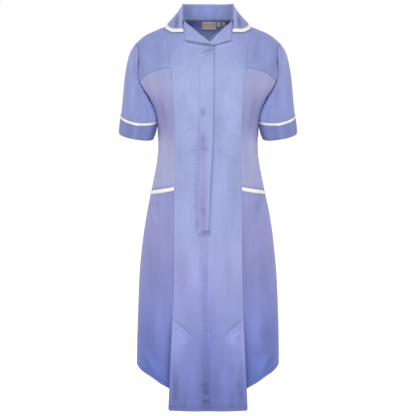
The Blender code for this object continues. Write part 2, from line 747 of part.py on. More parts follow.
def collar_surface():
    """The collar's sheet on the +X side: stand, fold and fall, station by station."""
    degrees = np.array(COLLAR_DEG)
    read = {
        name: table(COLLAR_ROWS, COLLAR_COLUMNS, "degrees", name, degrees)[:, None]
        for name in COLLAR_COLUMNS[1:]
    }
    angle, z = np.radians(degrees), neck_z(degrees)
    seam = body(angle, z) + body_normal(angle, z) * COLLAR_SEAM_LIFT
    fold = np.concatenate([read["fold_x"], read["fold_y"], read["fold_z"]], 1)
    away = fold * [1, 1, 0] - [0, NECK_MIDDLE_Y, 0]
    away = away / np.linalg.norm(away, axis=1, keepdims=True)
    drop = np.array([0, 0, COLLAR_FOLD_DROP])
    inner = fold - away * COLLAR_FOLD_HALF - drop
    outer = fold + away * COLLAR_FOLD_HALF - drop
    edge_angle, edge_z = np.radians(read["edge_deg"][:, 0]), read["edge_z"][:, 0]
    edge = body(edge_angle, edge_z)
    edge = edge + body_normal(edge_angle, edge_z) * COLLAR_CLEARANCE
    stand = [seam + (inner - seam) * share for share in np.linspace(0, 1, STAND_STEPS + 1)]
    chord = edge - outer
    length = np.linalg.norm(chord, axis=1, keepdims=True)
    proud = away - chord * ((away * chord).sum(1, keepdims=True) / length**2)
    proud = proud / np.linalg.norm(proud, axis=1, keepdims=True)
    split = 1 - TRIM_WIDTH / length
    fall = []
    for share in np.linspace(0, 1, FALL_STEPS + 1):
        t = split * share
        arch = 4 * t * (1 - t)
        fall.append(outer + chord * t + proud * read["bulge"] * arch)
    fall.append(edge)
    sheet = np.stack(stand + [fold] + fall)
    sheet[STAND_STEPS + 2:] = clear_of_body(sheet[STAND_STEPS + 2:], COLLAR_CLEARANCE)
    return sheet


def collar_patches(first, last):
    """Both halves of the collar's sheet, as one strip round the neck."""
    half = collar_surface()
    other = half[:, :0:-1] * [-1, 1, 1]
    sheet = np.concatenate([other, half], 1)
    return [(sheet[first:last], grid_normals(sheet)[first:last])]


def make_revers(name, side):
    """The revers: the front's facing turned out along the roll line."""
    own = "left" if side > 0 else "right"
    low_x = column(REVERS_ROWS, REVERS_COLUMNS, own + "_x")
    low_z = column(REVERS_ROWS, REVERS_COLUMNS, own + "_z")
    across = np.linspace(0, 1, len(low_x))
    top_x = REVERS_TOP_INNER[0] + (REVERS_TOP_OUTER[0] - REVERS_TOP_INNER[0]) * across
    top_z = REVERS_TOP_INNER[1] + (REVERS_TOP_OUTER[1] - REVERS_TOP_INNER[1]) * across
    down = np.linspace(0, 1, REVERS_STEPS + 1)[:, None]
    x = top_x + (low_x - top_x) * down
    z = top_z + (low_z - top_z) * down
    lift = np.full_like(x, LAYER)
    if side < 0:
        lift += REVERS_TIP_LIFT * np.clip((REVERS_TIP_START - x) / REVERS_TIP_RUN, 0, 1)
    return cloth(name, [placed(np.stack([angle_at(x, z), z, lift], -1), side)])


def make_label(name):
    """A bare label that hangs inside the back from the neck seam."""
    size = dict(zip(LABEL_COLUMNS, LABELS[name]))
    x, z = np.meshgrid(
        np.linspace(size["left"], size["right"], 4),
        np.linspace(size["top"], size["bottom"], 3),
    )
    angle = math.pi - np.sign(x) * (math.pi - angle_at(np.abs(x), z, back=True))
    grid = np.stack([angle, z, np.full_like(z, LABEL_LIFT)], -1)
    return cloth(name, [placed(grid, 1)], "label_beige", LABEL_CLOTH)


def make_dress():
    """Every cut piece of the dress, with what lies on it."""
    for old in list(bpy.data.objects):
        bpy.data.objects.remove(old, do_unlink=True)
    for own, side in (("left", 1), ("right", -1)):
        make_front(f"front_{own}", side)
        make_yoke(f"yoke_{own}", side)
        make_bodice_side(f"bodice_side_{own}", side)
        make_skirt_side(f"skirt_side_{own}", side)
        make_pleat_fold(f"pleat_fold_{own}", side)
        make_pocket_trim(f"pocket_trim_{own}", side)
        make_revers(f"revers_{own}", side)
        cloth(f"sleeve_{own}", [sleeve_patch(SLEEVE_RINGS, side)], closed=True)
        cuff = sleeve_patch(CUFF_RINGS, side, CUFF_LIFT)
        cloth(f"cuff_{own}", [cuff], closed=True)
        trim = sleeve_patch(TRIM_RINGS, side, CUFF_LIFT)
        cloth(f"cuff_trim_{own}", [trim], "white_trim", closed=True)
    cloth("back", back_patches(1) + back_patches(-1))
    collar_end = STAND_STEPS + FALL_STEPS + 3
    cloth("collar", collar_patches(0, collar_end), thickness=COLLAR_CLOTH)
    trim = collar_patches(collar_end - 1, collar_end + 1)
    cloth("collar_trim", trim, "white_trim", COLLAR_CLOTH)
    for name in LABELS:
        make_label(name)


make_dress()
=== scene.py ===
# %% [markdown]
# # A nurse uniform dress
# The dress is shown as it is worn, filled out, with nobody in it. Its cut pieces were
# built as plain solids first, and this script dresses them: each cut piece becomes a
# finer sheet of cloth on the same form, with its folds, seams, stitching and weave.
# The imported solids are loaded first. They give the place of every piece.

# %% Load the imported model
import math

import bpy
import numpy as np
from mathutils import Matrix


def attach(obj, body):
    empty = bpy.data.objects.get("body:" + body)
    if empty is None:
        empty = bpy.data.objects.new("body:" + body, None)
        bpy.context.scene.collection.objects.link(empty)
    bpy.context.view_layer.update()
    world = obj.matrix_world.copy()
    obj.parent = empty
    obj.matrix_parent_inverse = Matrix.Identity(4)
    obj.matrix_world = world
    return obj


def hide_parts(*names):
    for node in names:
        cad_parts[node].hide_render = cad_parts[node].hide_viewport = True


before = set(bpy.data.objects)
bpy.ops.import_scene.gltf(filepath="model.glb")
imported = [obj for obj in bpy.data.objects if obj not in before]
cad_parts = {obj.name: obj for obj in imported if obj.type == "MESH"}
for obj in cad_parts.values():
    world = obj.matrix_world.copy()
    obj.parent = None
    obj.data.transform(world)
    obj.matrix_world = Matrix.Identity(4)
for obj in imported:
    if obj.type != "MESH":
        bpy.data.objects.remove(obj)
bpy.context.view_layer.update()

# %% [markdown]
# ## Camera, light and floor
# A garment picture is taken from chest height with a long lens, in soft light from all
# sides, so that the cloth shows few shadows. A pale surround gives that soft light. One
# wide lamp above and in front makes the front a little brighter than the sides and the
# hem. Much of the dress's roundness is painted light and shade in the cloth's colours.

# %% Camera
AIM_Z = -0.515
CAMERA_DISTANCE = 2.2
CAMERA_PITCH = math.radians(10.0)
LENS_MM = 67.995

scene = bpy.context.scene
camera = bpy.data.objects.new("camera", bpy.data.cameras.new("camera"))
camera.data.lens = LENS_MM
camera.data.sensor_width = 36.0
camera.location = (
    0.0,
    -CAMERA_DISTANCE * math.cos(CAMERA_PITCH),
    AIM_Z + CAMERA_DISTANCE * math.sin(CAMERA_PITCH),
)
camera.rotation_euler = (math.pi / 2 - CAMERA_PITCH, 0.0, 0.0)
scene.collection.objects.link(camera)
scene.camera = camera
print("camera at", tuple(camera.location))

# %% Light
SURROUND_STRENGTH = 1.0
KEY_WATTS = 14.0
KEY_SIZE = 0.9
KEY_PLACE = (-0.15, -1.80, 0.75)
KEY_AIM_Z = -0.35


def add_lamp(name, place, aim_z, size, watts):
    """A square soft lamp at place, turned towards the dress's axis at height aim_z."""
    lamp = bpy.data.lights.new(name, "AREA")
    lamp.size = size
    lamp.energy = watts
    holder = bpy.data.objects.new(name, lamp)
    holder.location = place
    away = math.hypot(place[0], place[1])
    holder.rotation_euler = (
        math.atan2(away, place[2] - aim_z),
        0.0,
        math.atan2(place[1], place[0]) + math.pi / 2,
    )
    scene.collection.objects.link(holder)
    return holder


surround = bpy.data.worlds.new("surround")
surround.use_nodes = True
surround.node_tree.nodes["Background"].inputs["Color"].default_value = (1, 1, 1, 1)
surround.node_tree.nodes["Background"].inputs["Strength"].default_value = SURROUND_STRENGTH
scene.world = surround
add_lamp("key_lamp", KEY_PLACE, KEY_AIM_Z, KEY_SIZE, KEY_WATTS)
scene.view_settings.view_transform = "Standard"
print("surround", SURROUND_STRENGTH, "key lamp", KEY_WATTS, "W")

# %% [markdown]
# ## Sheets of cloth
# A cut piece is a surface with two parameters: rows run down the piece and columns run
# across it. Its outer face is a grid of points, the inner face is the same grid moved
# in by the thickness, and a rounded rim closes the edge, as a folded edge of cloth does.
# The grid's own arc lengths, in metres, are kept as a UV map, so that the weave follows
# the cut of each piece as it does in real cloth.

# %% Sheet helper
SHEET = 0.0013
NARROWEST_CUT = 0.0101


def unit(vectors):
    """Vectors divided by their lengths."""
    return vectors / np.maximum(np.linalg.norm(vectors, axis=-1, keepdims=True), 1e-12)


def grid_normals(points, closed=False):
    """Cross product of the two grid directions. closed: the columns run round a ring."""
    if closed:
        along = np.roll(points, -1, 1) - np.roll(points, 1, 1)
    else:
        along = np.gradient(points, axis=1)
    return unit(np.cross(along, np.gradient(points, axis=0)))


def arc(points, axis):
    """Distance walked along the grid's rows (axis 1) or columns (axis 0), from its start."""
    step = np.linalg.norm(np.diff(points, axis=axis), axis=-1)
    pad = [(0, 0), (0, 0)]
    pad[axis] = (1, 0)
    return np.cumsum(np.pad(step, pad), axis=axis)


def grid_faces(rows, columns, closed):
    """Corner numbers of the grid's quads, row by row."""
    number = np.arange(rows * columns).reshape(rows, columns)
    if closed:
        number = np.concatenate([number, number[:, :1]], 1)
    corners = [number[:-1, :-1], number[:-1, 1:], number[1:, 1:], number[1:, :-1]]
    return np.stack([corner.reshape(-1) for corner in corners], 1)


def rim_loops(rows, columns, closed):
    """The grid's edge as loops of (row, column) pairs that run the same way round."""
    down, across = np.arange(rows), np.arange(columns)
    if closed:
        top = np.stack([np.zeros(columns, int), across], 1)
        bottom = np.stack([np.full(columns, rows - 1), across[::-1]], 1)
        return [top, bottom]
    top = np.stack([np.zeros(columns, int), across], 1)
    right = np.stack([down, np.full(rows, columns - 1)], 1)
    bottom = np.stack([np.full(columns, rows - 1), across[::-1]], 1)
    left = np.stack([down[::-1], np.zeros(rows, int)], 1)
    return [np.concatenate([top[:-1], right[:-1], bottom[:-1], left[:-1]])]


def sheet_parts(points, outward, thickness, closed):
    """Points, faces, cut lengths and grid places of one closed sheet.

    Outer face: the grid. Inner face: the grid less its normal times the thickness. Rim:
    a loop half way between them, moved out of the sheet by half the thickness.
    """
    rows, columns = points.shape[:2]
    count = rows * columns
    inner = points - outward * thickness
    faces = grid_faces(rows, columns, closed)
    span = np.cross(
        points.reshape(-1, 3)[faces[:, 1]] - points.reshape(-1, 3)[faces[:, 0]],
        points.reshape(-1, 3)[faces[:, 3]] - points.reshape(-1, 3)[faces[:, 0]],
    )
    facing = (span * outward.reshape(-1, 3)[faces[:, 0]]).sum() > 0
    if not facing:
        faces = faces[:, ::-1]
    cut = np.stack([arc(points, 1), -arc(points, 0)], -1).reshape(-1, 2)
    all_points = [points.reshape(-1, 3), inner.reshape(-1, 3)]
    all_faces = [faces, faces[:, ::-1] + count]
    all_places = [np.arange(count), np.arange(count)]
    start = 2 * count
    for loop in rim_loops(rows, columns, closed):
        r, c = loop[:, 0], loop[:, 1]
        near_r = np.clip(r, 1, rows - 2)
        near_c = c if closed else np.clip(c, 1, columns - 2)
        away = unit(points[r, c] - points[near_r, near_c])
        middle = (points[r, c] + inner[r, c]) / 2 + away * thickness / 2
        outer_number = r * columns + c
        inner_number = outer_number + count
        middle_number = start + np.arange(len(loop))
        following = np.roll(np.arange(len(loop)), -1)
        for first, second in ((outer_number, middle_number), (middle_number, inner_number)):
            band = np.stack(
                [first[following], first, second, second[following]], 1
            )
            all_faces.append(band if facing else band[:, ::-1])
        all_points.append(middle)
        all_places.append(outer_number)
        start += len(loop)
    places = np.concatenate(all_places)
    return np.concatenate(all_points), np.concatenate(all_faces), cut[places], places


def mesh_object(name, points, faces, cut, finish, tone=None):
    """A mesh object from arrays of points, quads and cut lengths, smooth shaded.

    tone: a colour for each point, in linear light, kept as the attribute "tone".
    """
    mesh = bpy.data.meshes.new(name)
    mesh.vertices.add(len(points))
    mesh.vertices.foreach_set("co", points.astype(np.float32).ravel())
    corners = faces.shape[1]
    mesh.loops.add(faces.size)
    mesh.loops.foreach_set("vertex_index", faces.astype(np.int32).ravel())
    mesh.polygons.add(len(faces))
    mesh.polygons.foreach_set("loop_start", np.arange(len(faces), dtype=np.int32) * corners)
    uv = mesh.uv_layers.new(name="cut")
    uv.data.foreach_set("uv", cut[faces.ravel()].astype(np.float32).ravel())
    if tone is not None:
        values = np.column_stack([tone, np.ones(len(tone))]).astype(np.float32)
        mesh.attributes.new("tone", "FLOAT_COLOR", "POINT").data.foreach_set("color", values.ravel())
    mesh.update(calc_edges=True)
    mesh.validate()
    mesh.shade_smooth()
    mesh.materials.append(finish)
    piece = bpy.data.objects.new(name, mesh)
    scene.collection.objects.link(piece)
    return piece


def sheet_object(name, grids, finish, tone, thickness=SHEET, closed=False, inner_painted_light=1.0):
    """One piece from one or more grids, each given as (points, outward normals, shade).

    tone: a function of points that gives their colours. shade: how light each point is,
    1 where it isn't given. inner_painted_light: how much lighter the inner face is painted, against its shade.
    """
    points, faces, cut, tones, start = [], [], [], [], 0
    for grid, outward, *shade in grids:
        part_points, part_faces, part_cut, places = sheet_parts(grid, outward, thickness, closed)
        level = shade[0].reshape(-1)[places] if shade else np.ones(len(places))
        level[outward[..., 0].size:2 * outward[..., 0].size] *= inner_painted_light
        points.append(part_points)
        faces.append(part_faces + start)
        cut.append(part_cut)
        tones.append(tone(part_points) * level[:, None])
        start += len(part_points)
    points, faces, cut, tones = (np.concatenate(part) for part in (points, faces, cut, tones))
    return mesh_object(name, points, faces, cut, finish, tones)


def cut_size(grids, closed=False):
    """Width, length and flat area of the grids' cut, from their arc lengths."""
    width = max(arc(grid, 1).max() for grid, *_ in grids)
    length = max(arc(grid, 0).max() for grid, *_ in grids)
    area = 0.0
    for grid, *_ in grids:
        ring = np.concatenate([grid, grid[:, :1]], 1) if closed else grid
        across = ring[:-1, 1:] - ring[:-1, :-1]
        down = ring[1:, :-1] - ring[:-1, :-1]
        area += np.linalg.norm(np.cross(across, down), axis=-1).sum()
        width = max(width, arc(ring, 1).max())
    return width, length, area


def sewn(
    name, grids, panel, node, thickness=SHEET, closed=False, height=None, inner_painted_light=1.0
):
    """A sheet that takes a solid's place: it rides on the dress and states its cut.

    panel: the name of its tone. height: the cut's length where it isn't the longest
    column, as in a slanted triangle.
    """
    slot = SLOTS.get(panel, "dress_cloth")
    finish, tone = FINISHES[slot], TONES[panel]
    piece = sheet_object(name, grids, finish, tone, thickness, closed, inner_painted_light)
    width, length, area = cut_size(grids, closed)
    width, length = max(width, NARROWEST_CUT), max(length, NARROWEST_CUT)
    length = height or length
    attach(piece, "root")
    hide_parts(node)
    print(f"{name}: cut {width:.3f} x {length:.3f} m, {area:.4f} m2, {len(piece.data.polygons)} faces")
    return piece


# %% [markdown]
# ## The form that the cloth hangs on
# The pieces of the body share one surface, the same one as the solids: a squared oval at
# each height, in polar form, with the angle 0 at the centre front, 90 degrees at the
# side seam and 180 at the centre back. A table of heights gives its sizes, and a smooth
# curve runs through each column.

# %% Body form
BODY_COLUMNS = ("z", "half_width", "front", "back", "front_square", "back_square")
BODY_ROWS = (
    (0.0060, 0.0560, 0.0420, 0.0640, 2.10, 2.10),
    (0.0000, 0.0640, 0.0500, 0.0700, 2.10, 2.10),
    (-0.0060, 0.0750, 0.0570, 0.0735, 2.15, 2.15),
    (-0.0140, 0.0960, 0.0650, 0.0790, 2.20, 2.20),
    (-0.0215, 0.1163, 0.0705, 0.0830, 2.20, 2.20),
    (-0.0284, 0.1350, 0.0750, 0.0865, 2.20, 2.20),
    (-0.0362, 0.1540, 0.0790, 0.0895, 2.20, 2.20),
    (-0.0441, 0.1690, 0.0825, 0.0920, 2.20, 2.20),
    (-0.0521, 0.1800, 0.0855, 0.0945, 2.20, 2.20),
    (-0.0620, 0.1910, 0.0890, 0.0970, 2.20, 2.25),
    (-0.0800, 0.1990, 0.0955, 0.1010, 2.20, 2.25),
    (-0.1050, 0.2040, 0.1030, 0.1045, 2.20, 2.30),
    (-0.1350, 0.2050, 0.1130, 0.1060, 2.20, 2.30),
    (-0.1600, 0.2000, 0.1195, 0.1060, 2.25, 2.30),
    (-0.1800, 0.1860, 0.1230, 0.1045, 2.25, 2.30),
    (-0.2020, 0.1680, 0.1240, 0.1020, 2.25, 2.30),
    (-0.2250, 0.1540, 0.1225, 0.0985, 2.25, 2.30),
    (-0.2500, 0.1445, 0.1190, 0.0945, 2.25, 2.30),
    (-0.2800, 0.1392, 0.1130, 0.0905, 2.25, 2.30),
    (-0.3200, 0.1370, 0.1060, 0.0870, 2.25, 2.30),
    (-0.3600, 0.1377, 0.1035, 0.0870, 2.30, 2.30),
    (-0.4080, 0.1452, 0.1050, 0.0925, 2.35, 2.30),
    (-0.4640, 0.1568, 0.1095, 0.1030, 2.40, 2.30),
    (-0.5210, 0.1687, 0.1140, 0.1130, 2.50, 2.30),
    (-0.5780, 0.1784, 0.1180, 0.1200, 2.55, 2.35),
    (-0.6650, 0.1890, 0.1220, 0.1250, 2.65, 2.40),
    (-0.7820, 0.1965, 0.1250, 0.1260, 2.80, 2.40),
    (-0.9020, 0.2012, 0.1270, 0.1260, 3.00, 2.40),
    (-1.0800, 0.2052, 0.1290, 0.1270, 3.20, 2.40),
)


def column(rows, names, name):
    """One named column of a table as an array."""
    place = names.index(name)
    return np.array([row[place] for row in rows], float)


def smooth(known, values, wanted):
    """Piecewise cubic through (known, values), with slopes from their neighbours."""
    if known[0] > known[-1]:
        known, values = known[::-1], values[::-1]
    wanted = np.clip(np.asarray(wanted, float), known[0], known[-1])
    slope = np.gradient(values, known)
    i = np.clip(np.searchsorted(known, wanted, side="right") - 1, 0, len(known) - 2)
    step = known[i + 1] - known[i]
    t = (wanted - known[i]) / step
    return (
        (2 * t**3 - 3 * t**2 + 1) * values[i]
        + (t**3 - 2 * t**2 + t) * step * slope[i]
        + (3 * t**2 - 2 * t**3) * values[i + 1]
        + (t**3 - t**2) * step * slope[i + 1]
    )


def table(rows, names, key, name, wanted):
    """A table's column read smoothly at the wanted values of its key column."""
    return smooth(column(rows, names, key), column(rows, names, name), wanted)


def section(name, z):
    """One size of the body's cross-section at height z."""
    return table(BODY_ROWS, BODY_COLUMNS, "z", name, z)


def body_radius(angle, z):
    """Polar superellipse: 1 / (|sin a / width|^n + |cos a / depth|^n)^(1/n)."""
    front = np.cos(angle) >= 0
    depth = np.where(front, section("front", z), section("back", z))
    square = np.where(front, section("front_square", z), section("back_square", z))
    across = np.abs(np.sin(angle)) / section("half_width", z)
    along = np.abs(np.cos(angle)) / depth
    return (across**square + along**square) ** (-1 / square)


def body(angle, z):
    """The point (r sin a, -r cos a, z) of the body's surface."""
    angle, z = np.broadcast_arrays(np.asarray(angle, float), np.asarray(z, float))
    radius = body_radius(angle, z)
    return np.stack([radius * np.sin(angle), -radius * np.cos(angle), z], -1)


def body_normal(angle, z):
    """Unit outward normal: the cross product of two small differences."""
    turn, rise = 1e-3, 2e-4
    around = body(angle + turn, z) - body(angle - turn, z)
    up = body(angle, z + rise) - body(angle, z - rise)
    return unit(np.cross(around, up))


def clear_of_body(points, clearance):
    """Points on the +X side, moved out until they are that far from the body."""
    for _ in range(3):
        angle = np.arctan2(points[..., 0], -points[..., 1])
        radius = np.hypot(points[..., 0], points[..., 1])
        normal = body_normal(angle, points[..., 2])
        outward = normal[..., 0] * np.sin(angle) - normal[..., 1] * np.cos(angle)
        distance = (radius - body_radius(angle, points[..., 2])) * outward
        points = points + normal * np.clip(clearance - distance, 0, None)[..., None]
    return points


def angle_at(x, z, back=False):
    """The angle at which the body's surface at height z has that x."""
    depth = section("back" if back else "front", z)
    square = section("back_square" if back else "front_square", z)
    share = np.clip(np.abs(x) / section("half_width", z), 0, 1)
    y = depth * (1 - share**square) ** (1 / square)
    angle = np.arctan2(np.abs(x), y)
    return np.sign(x) * (math.pi - angle if back else angle)


print("waist width", 2 * float(section("half_width", -0.32)))

# %% [markdown]
# ## Seam lines
# The dress is cut in panels, as a maker would lay it out: two centre fronts, yokes over
# the bust, side panels down to slanted pockets, skirt sides and a back. The lines
# between them are the same as in the solids. Each panel lies between two lines, and
# its rows and columns are a fine ruled grid between them.

# %% Lines between the panels
V_Z = -0.0724
SHOULDER_POINT_Z = -0.0620
UNDERARM_Z = -0.2020
PRINCESS_TOP_Z = -0.0215
BUST_SEAM_INNER_Z = -0.1293
BUST_SEAM_OUTER_Z = -0.1783
UNDERARM_LEVEL_INNER_Z = -0.2200
POCKET_INNER_Z = -0.4412
POCKET_OUTER_Z = -0.4670
PLEAT_DIVE_Z = -0.7700
PLEAT_TOP_Z = -0.7990
FRONT_HEM_Z = -1.0620
SIDE_HEM_INNER_Z = -1.0040
SIDE_HEM_OUTER_Z = -0.9640
BACK_HEM_Z = -0.9820
FLY_END_Z = -0.5668
TRIM_WIDTH = 0.0095
BUST_SEAM_BEND = 2.1
POCKET_BEND = 0.95
HEM_BEND = 0.50
HEM_FADE_POWER = 5.0
ARMHOLE_FRONT_DEG = 16.0
ARMHOLE_BACK_DEG = 17.0
ARMHOLE_ROUNDNESS = 2.4
ARMHOLE_MIDDLE_Z = (SHOULDER_POINT_Z + UNDERARM_Z) / 2
ARMHOLE_HALF_HEIGHT = (SHOULDER_POINT_Z - UNDERARM_Z) / 2
YOKE_ROWS = 7
ARM_ROWS = 3
BODICE_ROWS = 7
SKIRT_ROWS = 6
PLEAT_ROWS = 4
SIDE_COLUMNS = 6
TOP_FADE_ROWS = 9

PRINCESS_COLUMNS = ("z", "x")
PRINCESS_ROWS = (
    (PRINCESS_TOP_Z, 0.1163),
    (-0.0565, 0.1091),
    (-0.1293, 0.0971),
    (-0.1900, 0.0915),
    (-0.2627, 0.0886),
    (-0.3431, 0.0874),
    (-0.4412, 0.0899),
    (-0.6351, 0.0921),
    (-0.7990, 0.0972),
    (-0.9200, 0.1030),
    (FRONT_HEM_Z, 0.1098),
)
FRONT_EDGE_COLUMNS = ("z", "x")
FRONT_EDGE_ROWS = (
    (V_Z, 0.0152),
    (-0.2200, 0.0148),
    (-0.3431, 0.0115),
    (-0.4500, 0.0060),
    (FLY_END_Z, 0.0024),
    (FRONT_HEM_Z, 0.0024),
)
NECK_COLUMNS = ("degrees", "z")
NECK_ROWS = (
    (53.0, -0.0103),
    (70.0, -0.0076),
    (90.0, -0.0060),
    (120.0, -0.0025),
    (150.0, -0.0006),
    (180.0, 0.0000),
)
FRONT_NECK_DEG = (53.0, 66.0, 78.0, 90.0)
BACK_NECK_DEG = (180.0, 165.0, 150.0, 135.0, 120.0, 105.0, 90.0)
SHOULDER_SEAM_Z = (-0.0140, PRINCESS_TOP_Z)
HEM_COLUMNS = ("share", "z")
HEM_ROWS = (
    (0.00, SIDE_HEM_INNER_Z),
    (0.17, -0.9885),
    (0.33, -0.9720),
    (0.50, -0.9622),
    (0.67, -0.9566),
    (0.83, -0.9590),
    (1.00, SIDE_HEM_OUTER_Z),
)
ROLL_COLUMNS = ("right_x", "left_x", "right_z", "left_z")
ROLL_ROWS = (
    (-0.0152, -0.0068, V_Z, -0.0690),
    (0.0050, 0.0100, -0.0588, -0.0545),
    (0.0240, 0.0260, -0.0423, -0.0406),
    (0.0430, 0.0430, -0.0258, -0.0258),
)


def princess_x(z):
    """How far the princess seam is from the middle at height z."""
    return table(PRINCESS_ROWS, PRINCESS_COLUMNS, "z", "x", z)


def front_edge_x(z):
    """How far the fly's folded edge is past the middle at height z."""
    return table(FRONT_EDGE_ROWS, FRONT_EDGE_COLUMNS, "z", "x", z)


def neck_z(degrees):
    """Height of the neck seam at an angle round the body."""
    return table(NECK_ROWS, NECK_COLUMNS, "degrees", "z", degrees)


def steps(start, end, count, power=1.0):
    """count + 1 heights from start to end, crowded near start where power is over 1."""
    return start + (end - start) * np.linspace(0, 1, count + 1) ** power


def joined(*runs):
    """Runs of stations joined end to end, each shared station kept once."""
    return np.concatenate([runs[0]] + [run[1:] for run in runs[1:]])


def finer(values, count):
    """Each step of a run of stations cut into count equal steps."""
    values = np.asarray(values, float)
    places = np.arange(len(values))
    return np.interp(np.linspace(0, len(values) - 1, (len(values) - 1) * count + 1), places, values)


def armhole(turns, back=False):
    """Angles and heights of the armhole's edge, at turns from 0 (top) to pi (bottom)."""
    power = 2 / ARMHOLE_ROUNDNESS
    rise = np.sign(np.cos(turns)) * np.abs(np.cos(turns)) ** power
    wide = np.abs(np.sin(turns)) ** power
    degrees = 90 + ARMHOLE_BACK_DEG * wide if back else 90 - ARMHOLE_FRONT_DEG * wide
    return np.radians(degrees), ARMHOLE_MIDDLE_Z + ARMHOLE_HALF_HEIGHT * rise


BUST_SHARE = (ARMHOLE_MIDDLE_Z - BUST_SEAM_OUTER_Z) / ARMHOLE_HALF_HEIGHT
BUST_TURN = math.pi / 2 + math.asin(BUST_SHARE ** (ARMHOLE_ROUNDNESS / 2))
ARMHOLE_TURNS = joined(steps(0, BUST_TURN, YOKE_ROWS), steps(BUST_TURN, math.pi, ARM_ROWS))
YOKE_PRINCESS = steps(PRINCESS_TOP_Z, BUST_SEAM_INNER_Z, YOKE_ROWS, 1.9)
BODICE_PRINCESS = joined(
    steps(BUST_SEAM_INNER_Z, UNDERARM_LEVEL_INNER_Z, ARM_ROWS),
    steps(UNDERARM_LEVEL_INNER_Z, POCKET_INNER_Z, BODICE_ROWS),
)
BODICE_SIDE = steps(UNDERARM_Z, POCKET_OUTER_Z, BODICE_ROWS)
SKIRT_PRINCESS = joined(
    steps(POCKET_INNER_Z, POCKET_INNER_Z - TRIM_WIDTH, 1),
    steps(POCKET_INNER_Z - TRIM_WIDTH, PLEAT_DIVE_Z, SKIRT_ROWS),
    steps(PLEAT_DIVE_Z, PLEAT_TOP_Z, 1),
)
SKIRT_SIDE = joined(
    steps(POCKET_OUTER_Z, POCKET_OUTER_Z - TRIM_WIDTH, 1),
    steps(POCKET_OUTER_Z - TRIM_WIDTH, SIDE_HEM_OUTER_Z, SKIRT_ROWS + 1 + PLEAT_ROWS),
)


def princess_seam(stations, back=False):
    """Angles and heights down the princess line."""
    return angle_at(princess_x(stations), stations, back), stations


def side_seam(stations):
    """Angles and heights down the side seam."""
    return np.full(len(stations), math.pi / 2), stations


def followed(*lines):
    """Lines of (angles, heights) joined end to end."""
    return joined(*(line[0] for line in lines)), joined(*(line[1] for line in lines))


def ruled(left, right, across, bend):
    """Between two lines: angle straight across, z by the share to the power of bend."""
    share = np.asarray(across, float)[None, :]
    power = np.asarray(bend, float)[:, None]
    angle = left[0][:, None] + (right[0] - left[0])[:, None] * share
    z = left[1][:, None] + (right[1] - left[1])[:, None] * share**power
    return np.stack([angle, z, np.zeros_like(z)], -1)


def centre_grid(edge, seam, top, fade_rows):
    """A centre panel: straight rows from edge to seam, the top row's shape fading out."""
    top_angle, top_z = np.array(top).T
    share = np.linspace(0, 1, len(top_z))[None, :]
    angle = edge[0][:, None] + (seam[0] - edge[0])[:, None] * share
    z = edge[1][:, None] + (seam[1] - edge[1])[:, None] * share
    fade = np.clip(1 - np.arange(len(seam[1])) / fade_rows, 0, 1)[:, None] ** 1.5
    angle = angle + (top_angle - angle[0]) * fade
    z = z + (top_z - z[0]) * fade
    return np.stack([angle, z, np.zeros_like(z)], -1)


print("bust seam meets the armhole at", round(math.degrees(BUST_TURN), 1), "degrees")

# %% [markdown]
# ## Folds
# Woven cloth on a body makes few and soft folds: drag lines towards the bust and the
# waist, slow vertical waves in the skirt, small puckers where the stitching draws the
# cloth up. Each fold is a soft ridge or trough along a line on the panel, with the
# height of a bell curve across it. They are listed one by one, in metres, and no two
# are alike. Seams are narrow hollows along the panels' edges.

# %% Fold helpers
SEAM_DIP = 0.0011
SEAM_DIP_WIDTH = 0.0026
PUCKER = 0.00035
PUCKER_REACH = 0.0130
PUCKER_SPACING = 0.0105
RELIEF_SHADE = 45.0


def folds(x, z, rows):
    """Bell curves: height * exp(-(distance to the line / width)^2), fading at the ends."""
    total = np.zeros(np.broadcast(x, z).shape)
    for x0, z0, x1, z1, width, height in rows:
        run, rise = x1 - x0, z1 - z0
        t = ((x - x0) * run + (z - z0) * rise) / (run * run + rise * rise)
        t = np.clip(t, 0, 1)
        distance = np.hypot(x - x0 - run * t, z - z0 - rise * t)
        taper = np.sin(math.pi * t) ** 0.7
        total += height * taper * np.exp(-((distance / width) ** 2))
    return total


def waves(across, down, height, seed, wide=0.085, long=0.42):
    """Slow drape: six sine waves with lengths about wide across and long down."""
    chance = np.random.default_rng(seed)
    total = np.zeros(np.broadcast(across, down).shape)
    for _ in range(6):
        wave_across = chance.uniform(0.7, 1.8) * wide
        wave_down = chance.uniform(0.7, 1.6) * long
        lean = chance.choice([-1.0, 1.0])
        phase = chance.uniform(0, 2 * math.pi)
        turn = 2 * math.pi * (across / wave_across + lean * down / wave_down) + phase
        total += np.sin(turn)
    return total * height / 6


def near(distance, reach):
    """1 at a line and 0 far from it, as exp(-(distance / reach)^2)."""
    return np.exp(-((distance / reach) ** 2))


def ease(value, low, high):
    """0 below low, 1 above high, and a smooth S curve between them."""
    t = np.clip((value - low) / (high - low), 0, 1)
    return t * t * (3 - 2 * t)


